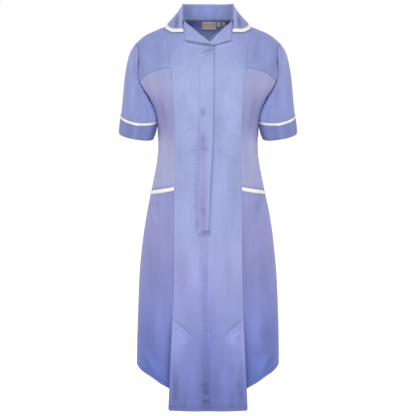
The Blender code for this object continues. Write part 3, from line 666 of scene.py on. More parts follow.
def seam_hollow(points, left=1.0, right=1.0, top=1.0, bottom=1.0, seed=1):
    """A narrow hollow along each sewn edge, with small puckers beside it.

    left, right, top and bottom say how deep each edge's hollow is, as a share. left and
    right may be columns of numbers, one a row, and top and bottom rows of numbers.
    """
    across, down = arc(points, 1), arc(points, 0)
    rows, columns = across.shape
    edges = (
        (across, np.reshape(left, (-1, 1)) if np.ndim(left) else left, down),
        (across[:, -1:] - across, np.reshape(right, (-1, 1)) if np.ndim(right) else right, down),
        (down, np.reshape(top, (1, -1)) if np.ndim(top) else top, across),
        (down[-1:] - down, np.reshape(bottom, (1, -1)) if np.ndim(bottom) else bottom, across),
    )
    total = np.zeros((rows, columns))
    for place, (distance, depth, along) in enumerate(edges):
        drift = 1.4 * np.sin(along / 0.043 + place + seed) + 0.9 * np.sin(along / 0.019 + seed)
        ripple = np.sin(2 * math.pi * along / PUCKER_SPACING + drift)
        strength = 0.6 + 0.4 * np.sin(along / 0.061 + 2.1 * seed + place)
        total -= SEAM_DIP * depth * near(distance, SEAM_DIP_WIDTH)
        total += PUCKER * depth * strength * ripple * np.exp(-distance / PUCKER_REACH)
    return total


def laid_out(grid, side):
    """Points and normals of an (angle, z, lift) grid, on the +X or the -X side."""
    angle, z, lift = grid[..., 0], grid[..., 1], grid[..., 2]
    normals = body_normal(angle, z)
    flip = np.array([side, 1.0, 1.0])
    return (body(angle, z) + normals * lift[..., None]) * flip, normals * flip


def raised(points, normals, height, closed=False, painted_shading=0.0):
    """The grid moved out by the height, its new normals, and how light each point is.

    A ridge is painted a little lighter and a hollow a little darker, as painted shade.
    painted_shading: painted shadows and highlights added to that, such as a seam's shadow line.
    """
    points = points + normals * height[..., None]
    fresh = grid_normals(points, closed)
    turned = np.sign((fresh * normals).sum())
    # Painted shade: lighter on ridges, darker in hollows, plus the painted shadows and highlights.
    shade = np.clip(1 + painted_shading + RELIEF_SHADE * (height - height.mean()), 0.4, 1.45)
    return points, fresh * turned, shade


# %% [markdown]
# ## The cloth's finish
# The cloth is a smooth twill of polyester and cotton: fine slanting ribs less than a
# millimetre apart, a soft sheen, and a colour that is never quite even. The ribs are sine
# waves over the cut's UV map, so they follow the grain. Thin upright streaks and soft
# clouds break the colour up, as uneven dye and handling do.

# %% Cloth recipe
RIB_SPACING = 0.0011
RIB_SLOPE = 0.55
WEFT_SPACING = 0.0006
RELIEF = 0.00010
SHADE_SPREAD = 0.060


def add_node(tree, kind, **settings):
    """A shader node with its settings given by name."""
    made = tree.nodes.new(kind)
    for name, value in settings.items():
        setattr(made, name, value)
    return made


def arithmetic(tree, operation, first, second=0.0):
    """A Math node. Each input is a number or another node's output."""
    made = add_node(tree, "ShaderNodeMath", operation=operation)
    for place, value in enumerate((first, second)):
        if isinstance(value, (int, float)):
            made.inputs[place].default_value = value
        else:
            tree.links.new(value, made.inputs[place])
    return made.outputs[0]


def noise(tree, place, size, detail, stretch=1.0):
    """Noise over Object coordinates, drawn out upwards by the stretch."""
    turned = add_node(tree, "ShaderNodeMapping")
    turned.inputs["Scale"].default_value = (1.0, 1.0, 1.0 / stretch)
    tree.links.new(place.outputs["Object"], turned.inputs["Vector"])
    made = add_node(tree, "ShaderNodeTexNoise")
    made.inputs["Scale"].default_value = 1.0 / size
    made.inputs["Detail"].default_value = detail
    tree.links.new(turned.outputs["Vector"], made.inputs["Vector"])
    return made.outputs["Fac"]


def cloth_finish(name, roughness=0.68, sheen=0.15, relief=0.35):
    """Twill: the tone attribute, streaks and clouds over it, and slanting ribs as bump."""
    finish = bpy.data.materials.new(name)
    finish.use_nodes = True
    tree = finish.node_tree
    shader = tree.nodes["Principled BSDF"]
    shader.inputs["Roughness"].default_value = roughness
    shader.inputs["Specular IOR Level"].default_value = 0.22
    shader.inputs["Sheen Weight"].default_value = sheen
    shader.inputs["Sheen Roughness"].default_value = 0.45
    shader.inputs["Sheen Tint"].default_value = (0.80, 0.84, 1.0, 1.0)

    tone = add_node(tree, "ShaderNodeAttribute", attribute_name="tone")
    place = add_node(tree, "ShaderNodeTexCoord")
    streaks = noise(tree, place, 0.0090, 3.0, stretch=20.0)
    clouds = noise(tree, place, 0.0450, 3.0)
    shade = add_node(tree, "ShaderNodeMapRange")
    shade.inputs["From Min"].default_value = 0.6
    shade.inputs["From Max"].default_value = 1.4
    shade.inputs["To Min"].default_value = 1 - SHADE_SPREAD
    shade.inputs["To Max"].default_value = 1 + SHADE_SPREAD
    tree.links.new(arithmetic(tree, "ADD", streaks, clouds), shade.inputs["Value"])
    tinted = add_node(tree, "ShaderNodeVectorMath", operation="SCALE")
    tree.links.new(tone.outputs["Color"], tinted.inputs["Vector"])
    tree.links.new(shade.outputs["Result"], tinted.inputs["Scale"])
    tree.links.new(tinted.outputs["Vector"], shader.inputs["Base Color"])

    cut = add_node(tree, "ShaderNodeUVMap", uv_map="cut")
    way = add_node(tree, "ShaderNodeSeparateXYZ")
    tree.links.new(cut.outputs["UV"], way.inputs[0])
    slant = arithmetic(tree, "MULTIPLY", way.outputs["Y"], RIB_SLOPE)
    slant = arithmetic(tree, "ADD", way.outputs["X"], slant)
    ribs = arithmetic(tree, "SINE", arithmetic(tree, "MULTIPLY", slant, 2 * math.pi / RIB_SPACING))
    weft = arithmetic(tree, "MULTIPLY", way.outputs["Y"], 2 * math.pi / WEFT_SPACING)
    weft = arithmetic(tree, "MULTIPLY", arithmetic(tree, "SINE", weft), 0.4)
    bump = add_node(tree, "ShaderNodeBump")
    bump.inputs["Strength"].default_value = relief
    bump.inputs["Distance"].default_value = RELIEF
    tree.links.new(arithmetic(tree, "ADD", ribs, weft), bump.inputs["Height"])
    tree.links.new(bump.outputs["Normal"], shader.inputs["Normal"])
    return finish


FINISHES = {
    "dress_cloth": cloth_finish("dress_cloth_finish"),
    "trim_cloth": cloth_finish("trim_cloth_finish", sheen=0.05, relief=0.25),
    "label_tape": cloth_finish("label_tape_finish", roughness=0.45, sheen=0.05, relief=0.2),
}
print(len(FINISHES), "finishes")

# %% [markdown]
# ## Colours by place, with painted light and shade
# The cloth's colour is painted with light and shade. The bust and the middle are painted
# lighter, as where the light falls, and the yokes, the sides and the skirt towards the
# hem are painted darker, as painted shade. The bodice's sides are a little greyer, partly
# by the twill's grain and partly as painted shade. Each panel's tone is a short table of
# colours by height, with a few soft patches of painted highlight and shade, and it is
# kept as an attribute on the points. The lamps make every face brighter than its own
# colour, so the tables are divided by that.

# %% Tones
LAMP_COLUMNS = ("z", "level")
LAMP_ROWS = ((0.05, 1.36), (-0.20, 1.41), (-0.60, 1.34), (-1.06, 1.28))
SLOTS = {"trim": "trim_cloth", "label": "label_tape"}


def as_light(colours):
    """Colours from 0 to 255 as linear light."""
    share = np.clip(colours, 0, 255) / 255
    return np.where(share <= 0.04045, share / 12.92, ((share + 0.055) / 1.055) ** 2.4)


def toned(rows, patches=(), mirrored=True):
    """A tone from rows (z, red, green, blue) and soft patches on them.

    Each patch is (x, z, half width, half height, red, green, blue): an amount that is
    added times a bell curve in x and in z. mirrored: x is taken without its sign.
    """
    rows = np.array(rows, float)

    def tone(points):
        x, z = (np.abs(points[:, 0]) if mirrored else points[:, 0]), points[:, 2]
        colours = np.stack([np.interp(-z, -rows[:, 0], rows[:, k]) for k in (1, 2, 3)], 1)
        for at_x, at_z, half_x, half_z, *amount in patches:
            bell = np.exp(-(((x - at_x) / half_x) ** 2) - ((z - at_z) / half_z) ** 2)
            colours += bell[:, None] * amount
        level = np.interp(-z, -column(LAMP_ROWS, LAMP_COLUMNS, "z"), column(LAMP_ROWS, LAMP_COLUMNS, "level"))
        return as_light(colours) / level[:, None]

    return tone


# Painted light and shade down the fronts: lightest at the bust, darker towards the neck and down to the hem.
FRONT_TONES = (
    (-0.03, 150, 158, 211),
    (-0.08, 156, 166, 216),
    (-0.14, 165, 176, 223),
    (-0.30, 162, 172, 220),
    (-0.60, 162, 168, 221),
    (-0.70, 158, 162, 218),
    (-0.80, 147, 153, 212),
    (-0.90, 130, 138, 202),
    (-1.00, 116, 124, 188),
    (-1.06, 108, 116, 178),
)
# Painted shade near the top of the princess seam and down the centre seam, and a painted highlight beside the
# pleats.
FRONT_PATCHES = (
    (0.105, -0.080, 0.030, 0.060, -10, -12, -9),
    (0.088, -0.880, 0.022, 0.055, 12, 12, 6),
    (0.000, -0.840, 0.022, 0.130, -10, -10, -7),
    (0.000, -1.010, 0.022, 0.060, -7, -7, -6),
)
FLY_PATCHES = (
    (-0.014, -0.330, 0.013, 0.060, -9, -16, -10),
    (-0.014, -0.440, 0.013, 0.060, -4, -10, -8),
    (-0.012, -0.520, 0.013, 0.050, -10, -18, -11),
    (-0.010, -0.690, 0.015, 0.080, -8, -9, -6),
)
TONES = {
    "front_left": toned(FRONT_TONES, FRONT_PATCHES),
    "front_right": toned(
        FRONT_TONES,
        FLY_PATCHES + FRONT_PATCHES + tuple((-x, *rest) for x, *rest in FRONT_PATCHES[:2]),
        mirrored=False,
    ),
    # Painted shade: the yokes are darker where they turn up and away, with two painted highlights near the bust
    # seam.
    "yoke": toned(
        ((-0.03, 140, 149, 204), (-0.12, 141, 150, 204), (-0.18, 145, 153, 206)),
        ((0.104, -0.100, 0.014, 0.060, 9, 9, 7), (0.112, -0.148, 0.030, 0.022, 10, 10, 8)),
    ),
    # Painted light and shade down the bodice's side: a darker band under the arm, lighter at the waist.
    "bodice_side": toned(
        (
            (-0.13, 157, 166, 214),
            (-0.17, 164, 166, 208),
            (-0.21, 158, 159, 204),
            (-0.25, 152, 151, 200),
            (-0.29, 155, 154, 202),
            (-0.33, 168, 171, 213),
            (-0.43, 172, 176, 218),
            (-0.50, 140, 145, 195),
        ),
    ),
    # Painted shade: the skirt's sides darken towards the hem and the side seam, with a painted shadow beside the
    # pleat and a painted sheen above the hem.
    "skirt_side": toned(
        (
            (-0.46, 153, 156, 208),
            (-0.56, 150, 152, 207),
            (-0.64, 143, 146, 203),
            (-0.72, 136, 140, 201),
            (-0.80, 128, 135, 199),
            (-0.88, 117, 128, 198),
            (-0.98, 100, 116, 192),
        ),
        (
            (0.205, -0.80, 0.028, 0.20, -12, -9, -7),
            (0.105, -0.93, 0.010, 0.10, -10, -9, -7),
            (0.140, -0.945, 0.022, 0.020, 0, 4, 3),
        ),
    ),
    # Painted shade: the back is darker at the neck, where its inside is seen in shade, and towards the hem.
    "back": toned(
        (
            (0.00, 112, 121, 184),
            (-0.04, 140, 149, 203),
            (-0.20, 152, 160, 213),
            (-0.55, 152, 160, 214),
            (-0.75, 140, 148, 207),
            (-1.00, 116, 127, 194),
        ),
    ),
    # A painted highlight runs down the sleeve's outer side.
    "sleeve": toned(
        ((-0.05, 147, 156, 208), (-0.10, 147, 156, 211), (-0.25, 145, 155, 211)),
        ((0.207, -0.110, 0.008, 0.050, 12, 12, 5),),
    ),
    "cuff": toned(((-0.25, 128, 137, 195), (-0.33, 126, 135, 194))),
    # A painted light patch lifts the inside of the collar's stand, which sits in shade.
    "collar": toned(
        ((0.045, 146, 155, 208), (0.0, 148, 156, 206), (-0.04, 150, 158, 207)),
        ((0.000, 0.0200, 0.055, 0.024, 26, 33, 50),),
    ),
    "revers": toned(((-0.01, 150, 160, 211), (-0.07, 158, 168, 219))),
    "trim": toned(((0.0, 243, 240, 237), (-0.5, 252, 250, 249))),
    "label": toned(((0.0, 238, 226, 214), (-0.03, 238, 226, 214))),
}
print(len(TONES), "tones")

# %% [markdown]
# ## Centre fronts
# Each centre front runs from the shoulder and the roll line down to the hem. The right
# one ends in the fly, a folded band about 46 mm wide that hides the buttons, stitched
# down along its inner side. The left one runs on under it. Below the kick pleats' tops
# the side edges are free, pressed folds.

# %% Centre front folds
surfaces = {}
HEM_STITCH = 0.0110
FRONT_DENSE_ROWS = 11
FRONT_DENSE_COLUMNS = 8
FLY_RISE = 0.0010
FLY_LINE = (
    (-0.1184, -0.0206),
    (-0.2360, -0.0208),
    (-0.3417, -0.0253),
    (-0.5000, -0.0287),
    (-0.5485, -0.0293),
    (-0.5600, -0.0270),
    (-0.5665, -0.0200),
)
PUCKER_LINE_X = -0.0357
UNDERLAP_WIDTH = 0.0220
UNDERLAP_LIFT = -0.0032
UNDERLAP_RISE = 0.0120
FACE_LIFT = 0.0008
FOLD_COLUMNS = ("x0", "z0", "x1", "z1", "width", "height")
RIGHT_FRONT_FOLDS = (
    (0.0120, -0.0780, -0.0150, -0.0905, 0.0024, 0.0014),
    (0.0129, -0.0800, -0.0142, -0.0925, 0.0022, -0.0014),
    (0.0129, -0.0835, -0.0110, -0.0990, 0.0022, -0.0014),
    (0.0050, -0.0900, -0.0150, -0.1010, 0.0030, 0.0010),
    (-0.0180, -0.3000, -0.0020, -0.3260, 0.0060, -0.0016),
    (-0.0260, -0.3350, -0.0060, -0.3180, 0.0060, -0.0012),
    (-0.0170, -0.3390, 0.0010, -0.3385, 0.0045, -0.0014),
    (-0.0120, -0.4600, -0.0200, -0.4950, 0.0070, -0.0015),
    (-0.0100, -0.4750, 0.0000, -0.5150, 0.0060, 0.0011),
    (-0.0700, -0.2400, -0.0350, -0.3300, 0.0120, 0.0018),
    (-0.0620, -0.3600, -0.0250, -0.3350, 0.0100, -0.0016),
    (-0.0800, -0.4500, -0.0450, -0.4400, 0.0080, -0.0014),
    (-0.0600, -0.1500, -0.0350, -0.2500, 0.0160, 0.0018),
    (-0.0400, -0.5900, -0.0200, -0.7300, 0.0160, 0.0018),
    (-0.0650, -0.6000, -0.0700, -0.7400, 0.0180, -0.0018),
)
LEFT_FRONT_FOLDS = (
    (0.0700, -0.2500, 0.0360, -0.3350, 0.0120, 0.0017),
    (0.0640, -0.3700, 0.0260, -0.3400, 0.0100, -0.0016),
    (0.0560, -0.1600, 0.0400, -0.2600, 0.0160, 0.0018),
    (0.0820, -0.4550, 0.0480, -0.4450, 0.0080, -0.0014),
    (0.0380, -0.6000, 0.0240, -0.7400, 0.0160, 0.0018),
    (0.0640, -0.6200, 0.0690, -0.7600, 0.0180, -0.0018),
)
LOW_FRONT_FOLDS = (
    (0.0945, -0.8010, 0.0440, -0.8440, 0.0026, -0.0018),
    (0.0900, -0.8130, 0.0430, -0.8500, 0.0030, 0.0024),
    (0.0930, -0.8200, 0.0600, -0.8440, 0.0030, -0.0012),
    (0.0930, -0.8300, 0.0640, -0.8520, 0.0040, 0.0014),
    (0.0900, -0.8440, 0.0680, -0.8600, 0.0030, -0.0010),
    (0.0560, -0.8560, 0.0780, -0.8720, 0.0070, 0.0012),
    (0.0900, -0.9300, 0.0860, -1.0300, 0.0110, -0.0024),
    (0.0780, -0.9000, 0.0740, -1.0500, 0.0120, 0.0016),
    (0.0480, -0.9300, 0.0520, -1.0500, 0.0140, 0.0014),
    (0.0660, -1.0000, 0.0620, -1.0500, 0.0080, -0.0014),
)
CENTRE_PUCKERS = (
    (-0.0140, -0.7700, 0.0040, -0.7760, 0.0045, -0.0010),
    (-0.0150, -0.8030, 0.0030, -0.8060, 0.0050, -0.0012),
    (-0.0150, -0.8260, 0.0030, -0.8330, 0.0050, -0.0013),
    (-0.0120, -0.9570, 0.0030, -0.9620, 0.0060, -0.0012),
    (-0.0190, -0.9880, 0.0030, -0.9850, 0.0050, -0.0020),
    (-0.0110, -1.0000, 0.0010, -1.0120, 0.0060, -0.0030),
    (-0.0150, -1.0220, 0.0040, -1.0200, 0.0045, 0.0018),
    (-0.0130, -1.0340, 0.0040, -1.0335, 0.0050, -0.0028),
)
# Painted shadows and highlights on the fronts: the V's creases, the lapels' shadow, the fly, drag lines and the
# hem.
FRONT_PAINTED_SHADING = (
    (0.0150, -0.0785, -0.0200, -0.0945, 0.0034, -0.42),
    (0.0150, -0.0830, -0.0150, -0.1025, 0.0030, -0.28),
    (0.0100, -0.0840, -0.0190, -0.0980, 0.0028, 0.28),
    (-0.0300, -0.0668, 0.0180, -0.0760, 0.0022, -0.46),
    (0.0140, -0.0860, 0.0040, -0.1100, 0.0024, -0.08),
    (0.0120, -0.0830, 0.0420, -0.0860, 0.0032, 0.08),
    (0.0120, -0.0780, 0.0400, -0.0880, 0.0026, -0.10),
    (0.0080, -0.0820, -0.0420, -0.0800, 0.0030, -0.08),
    (-0.0140, -0.2300, -0.0120, -0.2530, 0.0055, -0.34),
    (-0.0150, -0.2900, -0.0130, -0.3480, 0.0120, -0.05),
    (-0.0215, -0.1188, -0.0040, -0.1178, 0.0016, -0.07),
    (-0.0175, -0.3080, -0.0090, -0.3180, 0.0055, -0.15),
    (-0.0190, -0.3394, 0.0030, -0.3385, 0.0052, -0.15),
    (-0.0160, -0.4880, -0.0110, -0.5160, 0.0062, -0.24),
    (-0.0290, -0.5220, -0.0260, -0.5520, 0.0040, -0.22),
    (-0.0200, -0.5588, 0.0070, -0.5588, 0.0034, -0.60),
    (-0.0310, -0.5668, 0.0070, -0.5668, 0.0032, -0.34),
    (-0.0850, -0.1500, -0.0400, -0.1750, 0.0160, 0.03),
    (-0.0850, -0.3070, -0.0390, -0.2660, 0.0032, 0.08),
    (-0.0820, -0.3150, -0.0370, -0.2740, 0.0042, -0.06),
    (0.0330, -0.2690, 0.0860, -0.3040, 0.0032, 0.07),
    (0.0310, -0.2780, 0.0840, -0.3120, 0.0042, -0.05),
    (-0.0780, -0.2200, -0.0400, -0.2150, 0.0050, 0.04),
    (0.0420, -0.2250, 0.0800, -0.2200, 0.0050, 0.04),
    (-0.0700, -0.4700, -0.0400, -0.4780, 0.0050, -0.05),
    (0.0300, -0.4660, 0.0760, -0.4760, 0.0050, -0.05),
    (-0.0300, -0.1300, -0.0650, -0.2300, 0.0140, -0.03),
    (0.0300, -0.1400, 0.0620, -0.2200, 0.0140, -0.03),
    (0.0750, -0.1700, 0.0500, -0.2800, 0.0140, 0.03),
    (-0.0780, -0.2600, -0.0450, -0.3600, 0.0120, 0.04),
    (-0.0850, -0.3300, -0.0550, -0.4000, 0.0120, -0.04),
    (0.0800, -0.2700, 0.0480, -0.3500, 0.0110, 0.04),
    (0.0850, -0.3400, 0.0500, -0.4100, 0.0120, -0.04),
    (-0.0600, -0.4300, -0.0450, -0.5600, 0.0140, 0.03),
    (0.0450, -0.4400, 0.0350, -0.5600, 0.0120, -0.04),
    (0.0700, -0.5200, 0.0680, -0.7000, 0.0130, 0.03),
    (-0.0750, -0.5200, -0.0700, -0.6600, 0.0120, -0.03),
    (-0.0450, -0.6200, -0.0480, -0.7800, 0.0130, 0.04),
    (-0.0450, -0.8900, -0.0420, -1.0100, 0.0100, 0.05),
    (0.0430, -0.8900, 0.0420, -1.0200, 0.0100, 0.05),
    (0.0250, -0.9300, 0.0240, -1.0400, 0.0070, -0.05),
    (-0.0560, -0.9500, -0.0570, -1.0300, 0.0060, -0.05),
    (-0.0240, -0.9880, 0.0040, -0.9850, 0.0075, -0.18),
    (-0.0150, -0.9970, 0.0030, -1.0140, 0.0085, -0.17),
    (-0.0190, -1.0365, 0.0070, -1.0310, 0.0080, -0.19),
    (-0.0190, -1.0225, 0.0030, -1.0200, 0.0050, 0.10),
    (-0.0720, -0.9250, -0.0722, -0.9750, 0.0050, -0.08),
    (-0.0879, -0.9700, -0.0880, -1.0030, 0.0065, -0.11),
    (-0.0895, -1.0060, -0.0905, -1.0300, 0.0060, -0.11),
    (-0.0790, -1.0490, -0.0550, -1.0440, 0.0060, -0.10),
    (0.0665, -0.9250, 0.0668, -0.9650, 0.0050, -0.07),
    (0.0824, -0.9750, 0.0826, -1.0020, 0.0065, -0.11),
    (0.0905, -1.0060, 0.0914, -1.0300, 0.0055, -0.11),
    (0.0770, -1.0480, 0.0530, -1.0430, 0.0060, -0.10),
)
# Painted shadows and highlights on both fronts: the pleats' tops, the shadow under the lapels and the hem's folds.
PAIRED_FRONT_PAINTED_SHADING = (
    (0.0980, -0.7960, 0.0400, -0.8430, 0.0050, -0.12),
    (0.0965, -0.8005, 0.0420, -0.8460, 0.0020, -0.07),
    (0.0820, -0.8165, 0.0400, -0.8530, 0.0026, 0.25),
    (0.0960, -0.8080, 0.0600, -0.8350, 0.0028, 0.20),
    (0.0950, -0.8170, 0.0660, -0.8380, 0.0018, -0.05),
    (0.0930, -0.8360, 0.0480, -0.8560, 0.0120, 0.10),
    (0.0940, -0.8270, 0.0600, -0.8490, 0.0040, 0.17),
    (0.0920, -0.8420, 0.0680, -0.8580, 0.0024, -0.10),
    (0.0940, -0.8560, 0.0430, -0.8600, 0.0085, 0.11),
    (0.0930, -0.8720, 0.0650, -0.8760, 0.0100, 0.05),
    (0.0700, -0.7800, 0.0200, -0.8180, 0.0140, -0.05),
    (0.0660, -0.0594, 0.0150, -0.0712, 0.0023, -0.50),
    (0.0680, -0.0650, 0.0120, -0.0770, 0.0034, 0.12),
    (0.0960, -0.9940, 0.0920, -1.0420, 0.0034, -0.08),
)
CORNER_RADIUS = 0.0055


def front_top(side):
    """The top edge of a centre front: roll line, neck seam, then shoulder seam."""
    name = "left" if side > 0 else "right"
    x = column(ROLL_ROWS, ROLL_COLUMNS, name + "_x")
    z = column(ROLL_ROWS, ROLL_COLUMNS, name + "_z")
    top = list(zip(angle_at(x, z), z))
    top += [(math.radians(deg), float(neck_z(deg))) for deg in FRONT_NECK_DEG]
    top += [(math.pi / 2, z) for z in SHOULDER_SEAM_Z]
    angle, height = np.array(top).T
    return list(zip(finer(angle, FRONT_DENSE_COLUMNS), finer(height, FRONT_DENSE_COLUMNS)))


def front_sheet(side):
    """A centre front's outer face: the solid's grid, then its folds, fly and seams."""
    stations = finer(
        joined(
            YOKE_PRINCESS,
            BODICE_PRINCESS,
            SKIRT_PRINCESS,
            steps(PLEAT_TOP_Z, FRONT_HEM_Z, PLEAT_ROWS),
        ),
        FRONT_DENSE_ROWS,
    )
    share = (stations - stations[0]) / (stations[-1] - stations[0])
    edge_z = V_Z + (FRONT_HEM_Z - V_Z) * share
    edge_x = side * front_edge_x(edge_z)
    seam = princess_seam(stations)
    top = front_top(side)
    fade_rows = TOP_FADE_ROWS * FRONT_DENSE_ROWS
    grid = centre_grid((angle_at(edge_x, edge_z), edge_z), seam, top, fade_rows)
    if side > 0:
        row = ease(edge_z, FLY_END_Z - 0.012, FLY_END_Z + 0.012)
        under = np.clip(row * 3, 0, 1)[:, None]
        width = (UNDERLAP_WIDTH * under)[:, 0]
        first = angle_at(edge_x - width, edge_z)[:, None]
        last = seam[0][:, None]
        columns = np.linspace(0, 1, grid.shape[1])[None, :]
        even = first + (last - first) * columns
        fade = np.clip(1 - np.arange(len(stations)) / fade_rows, 0, 1)[:, None] ** 1.5
        grid[..., 0] = even + (np.array(top)[:, 0] - even[:1]) * fade
        x = body(grid[..., 0], grid[..., 1])[..., 0]
        rise = ease(x - edge_x[:, None], 0.0004, UNDERLAP_RISE)
        grid[..., 2] = UNDERLAP_LIFT * (1 - rise) * under * ease(1 - fade, 0.0, 0.06)
    points, normals = laid_out(grid, side)
    inside = np.clip(CORNER_RADIUS - (arc(points, 1)[:, -1:] - arc(points, 1)), 0, CORNER_RADIUS)
    rise = CORNER_RADIUS - np.sqrt(CORNER_RADIUS**2 - inside**2)
    points[..., 2] += rise * ease(arc(points, 0) - arc(points, 0)[-1:], -0.0300, 0.0)
    x, z = points[..., 0], points[..., 2]
    lift = np.full(x.shape, FACE_LIFT)
    lift += folds(x, z, RIGHT_FRONT_FOLDS if side < 0 else LEFT_FRONT_FOLDS)
    lift += folds(np.abs(x), z, LOW_FRONT_FOLDS)
    lift += waves(x, z, 0.0016, 11 + side) * ease(-z, 0.10, 0.30)
    seam_side = ease(z[:, -1], PLEAT_TOP_Z - 0.01, PLEAT_TOP_Z + 0.01)
    centre = 1 - ease(z[:, 0], FLY_END_Z - 0.01, FLY_END_Z + 0.01)
    waist = ease(-z[:, -1], 0.16, 0.22) * (1 - ease(-z[:, -1], 0.44, 0.47))
    seam_depth = seam_side * (1 - 0.65 * waist) * (0.6 + 0.4 * ease(-z[:, -1], 0.12, 0.14))
    lift += seam_hollow(points, centre * 0.6, seam_depth, 0.0, 0.0, seed=3 + side)
    free = arc(points, 1)[:, -1:] - arc(points, 1)
    pressed = (1 - seam_side)[:, None]
    lift -= pressed * 0.0009 * near(free, 0.0016)
    lift += pressed * 0.0010 * near(free - 0.0050, 0.0045)
    centre_low = ease(-z, -FLY_END_Z + 0.02, -FLY_END_Z + 0.10)
    lift += folds(x, z, CENTRE_PUCKERS)
    lift -= 0.0010 * near(x + 0.0090, 0.0110) * centre_low
    # Painted shade: shadow lines at the hem stitching, the fly's opening, the centre seam and the pleats' edges,
    # with painted highlights beside them.
    painted_shading = folds(x, z, FRONT_PAINTED_SHADING) + folds(np.abs(x), z, PAIRED_FRONT_PAINTED_SHADING)
    bottom = arc(points, 0)[-1:] - arc(points, 0)
    painted_shading += 0.04 * ease(-bottom, -0.0100, -0.0070) - 0.09 * near(bottom - HEM_STITCH, 0.0020)
    painted_shading += pressed * (0.09 * near(free - 0.0034, 0.0026) - 0.13 * near(free, 0.0016))
    upper = ease(z, -0.165, -0.125)
    skirt_part = ease(-z, 0.440, 0.480) * (1 - pressed)
    painted_shading += (0.06 * skirt_part - 0.02 * upper) * near(free, 0.0024)
    from_centre = arc(points, 1)
    painted_shading += 0.16 * centre[:, None] * ease(z, -0.90, -0.85) * near(from_centre, 0.0016)
    beside = x - side * edge_x[:, None]
    opening = 0.16 * near(beside - 0.0032, 0.0036) - 0.26 * near(beside, 0.0013)
    painted_shading += (1 - centre)[:, None] * opening
    rippled = np.sin(2 * math.pi * z / 0.0135 + 1.1 * np.sin(z / 0.021) + x / 0.012)
    on_seam = near(x + 0.0088, 0.0095) * ease(-z, 0.600, 0.720)
    uneven = 0.5 + 0.5 * np.sin(z / 0.0090) * np.sin(z / 0.0230 + 1.0)
    painted_shading -= 0.042 * on_seam * (1 + 1.5 * rippled * uneven * (1 - ease(-z, 0.90, 0.96)))
    nicked = np.sin(2 * math.pi * z / 0.0100 + 0.8 * np.sin(z / 0.017))
    painted_shading -= pressed * 0.06 * nicked * near(free - 0.0080, 0.0045) * ease(-z, 0.94, 1.00)
    dotted = 0.5 + 0.5 * np.sin(2 * math.pi * z / 0.0080)
    painted_shading += 0.16 * dotted * near(x - 0.0030, 0.0016) * ease(-z, 0.60, 0.66) * ease(z, -0.90, -0.84)
    if side < 0:
        line = np.interp(-z, [-row[0] for row in FLY_LINE], [row[1] for row in FLY_LINE])
        on_fly = ease(z, FLY_END_Z - 0.004, FLY_END_Z + 0.006) * ease(-z, 0.117, 0.123)
        lift += FLY_RISE * (0.2 + 0.6 * ease(-z, 0.24, 0.32)) * on_fly * ease(x, line - 0.0015, line + 0.0025)
        ripple = np.sin(2 * math.pi * z / 0.0125 + 1.7 * np.sin(z / 0.031))
        lift += 0.0006 * ripple * near(x - line + 0.004, 0.0070) * on_fly * ease(-z, 0.22, 0.30)
        lift -= 0.0006 * near(x - line + 0.0015, 0.0020) * on_fly
        # Painted shade along the fly's stitching and in its puckers.
        painted_shading -= (0.04 + 0.05 * ease(-z, 0.24, 0.40)) * near(x - line, 0.0018) * on_fly
        drawn = (0.5 + 0.5 * np.sin(2 * math.pi * z / 0.0115)) * (0.6 + 0.4 * np.sin(z / 0.0047))
        puckered = near(x - PUCKER_LINE_X, 0.0024) * ease(-z, 0.29, 0.33) * ease(z, -0.580, -0.555)
        lift -= 0.0009 * drawn * puckered
        painted_shading -= 0.19 * drawn * puckered
    return points, normals, lift, painted_shading


for own, side in (("left", 1), ("right", -1)):
    points, normals, lift, painted_shading = front_sheet(side)
    front = raised(points, normals, lift, painted_shading=painted_shading)
    name = f"front_{own}"
    surfaces[name] = front
    sewn(name + "_cloth", [front], name, name)

# %% [markdown]
# ## Yokes and sides of the bodice
# The yoke covers the shoulder down to a curved seam over the bust. The side panel below
# it goes in at the waist and on behind the pocket's mouth, as the pocket's backing. The
# close fit draws long soft folds from the bust towards the waist.

# %% Yokes and sides of the bodice
SIDE_DENSE = 10
YOKE_FOLDS = (
    (0.1350, -0.0600, 0.1180, -0.1180, 0.0140, -0.0012),
    (0.1700, -0.0750, 0.1500, -0.1350, 0.0110, 0.0014),
    (0.1880, -0.1000, 0.1700, -0.1500, 0.0080, -0.0012),
    (0.1500, -0.0500, 0.1400, -0.0950, 0.0100, 0.0010),
)
BODICE_FOLDS = (
    (0.1600, -0.1650, 0.1200, -0.2300, 0.0120, 0.0018),
    (0.1300, -0.2000, 0.1080, -0.2900, 0.0080, -0.0022),
    (0.1120, -0.2100, 0.1040, -0.3050, 0.0060, 0.0013),
    (0.1220, -0.2800, 0.1150, -0.3900, 0.0120, 0.0018),
    (0.1010, -0.3000, 0.0970, -0.4100, 0.0080, -0.0010),
    (0.1330, -0.3100, 0.1280, -0.3600, 0.0080, -0.0012),
    (0.1350, -0.4000, 0.1200, -0.4350, 0.0090, -0.0010),
)
# Painted light and shade along the yoke's folds.
YOKE_PAINTED_SHADING = (
    (0.1750, -0.0560, 0.1830, -0.1500, 0.0060, -0.04),
    (0.1650, -0.0700, 0.1500, -0.1350, 0.0080, 0.03),
    (0.1350, -0.0600, 0.1250, -0.1100, 0.0090, -0.03),
)
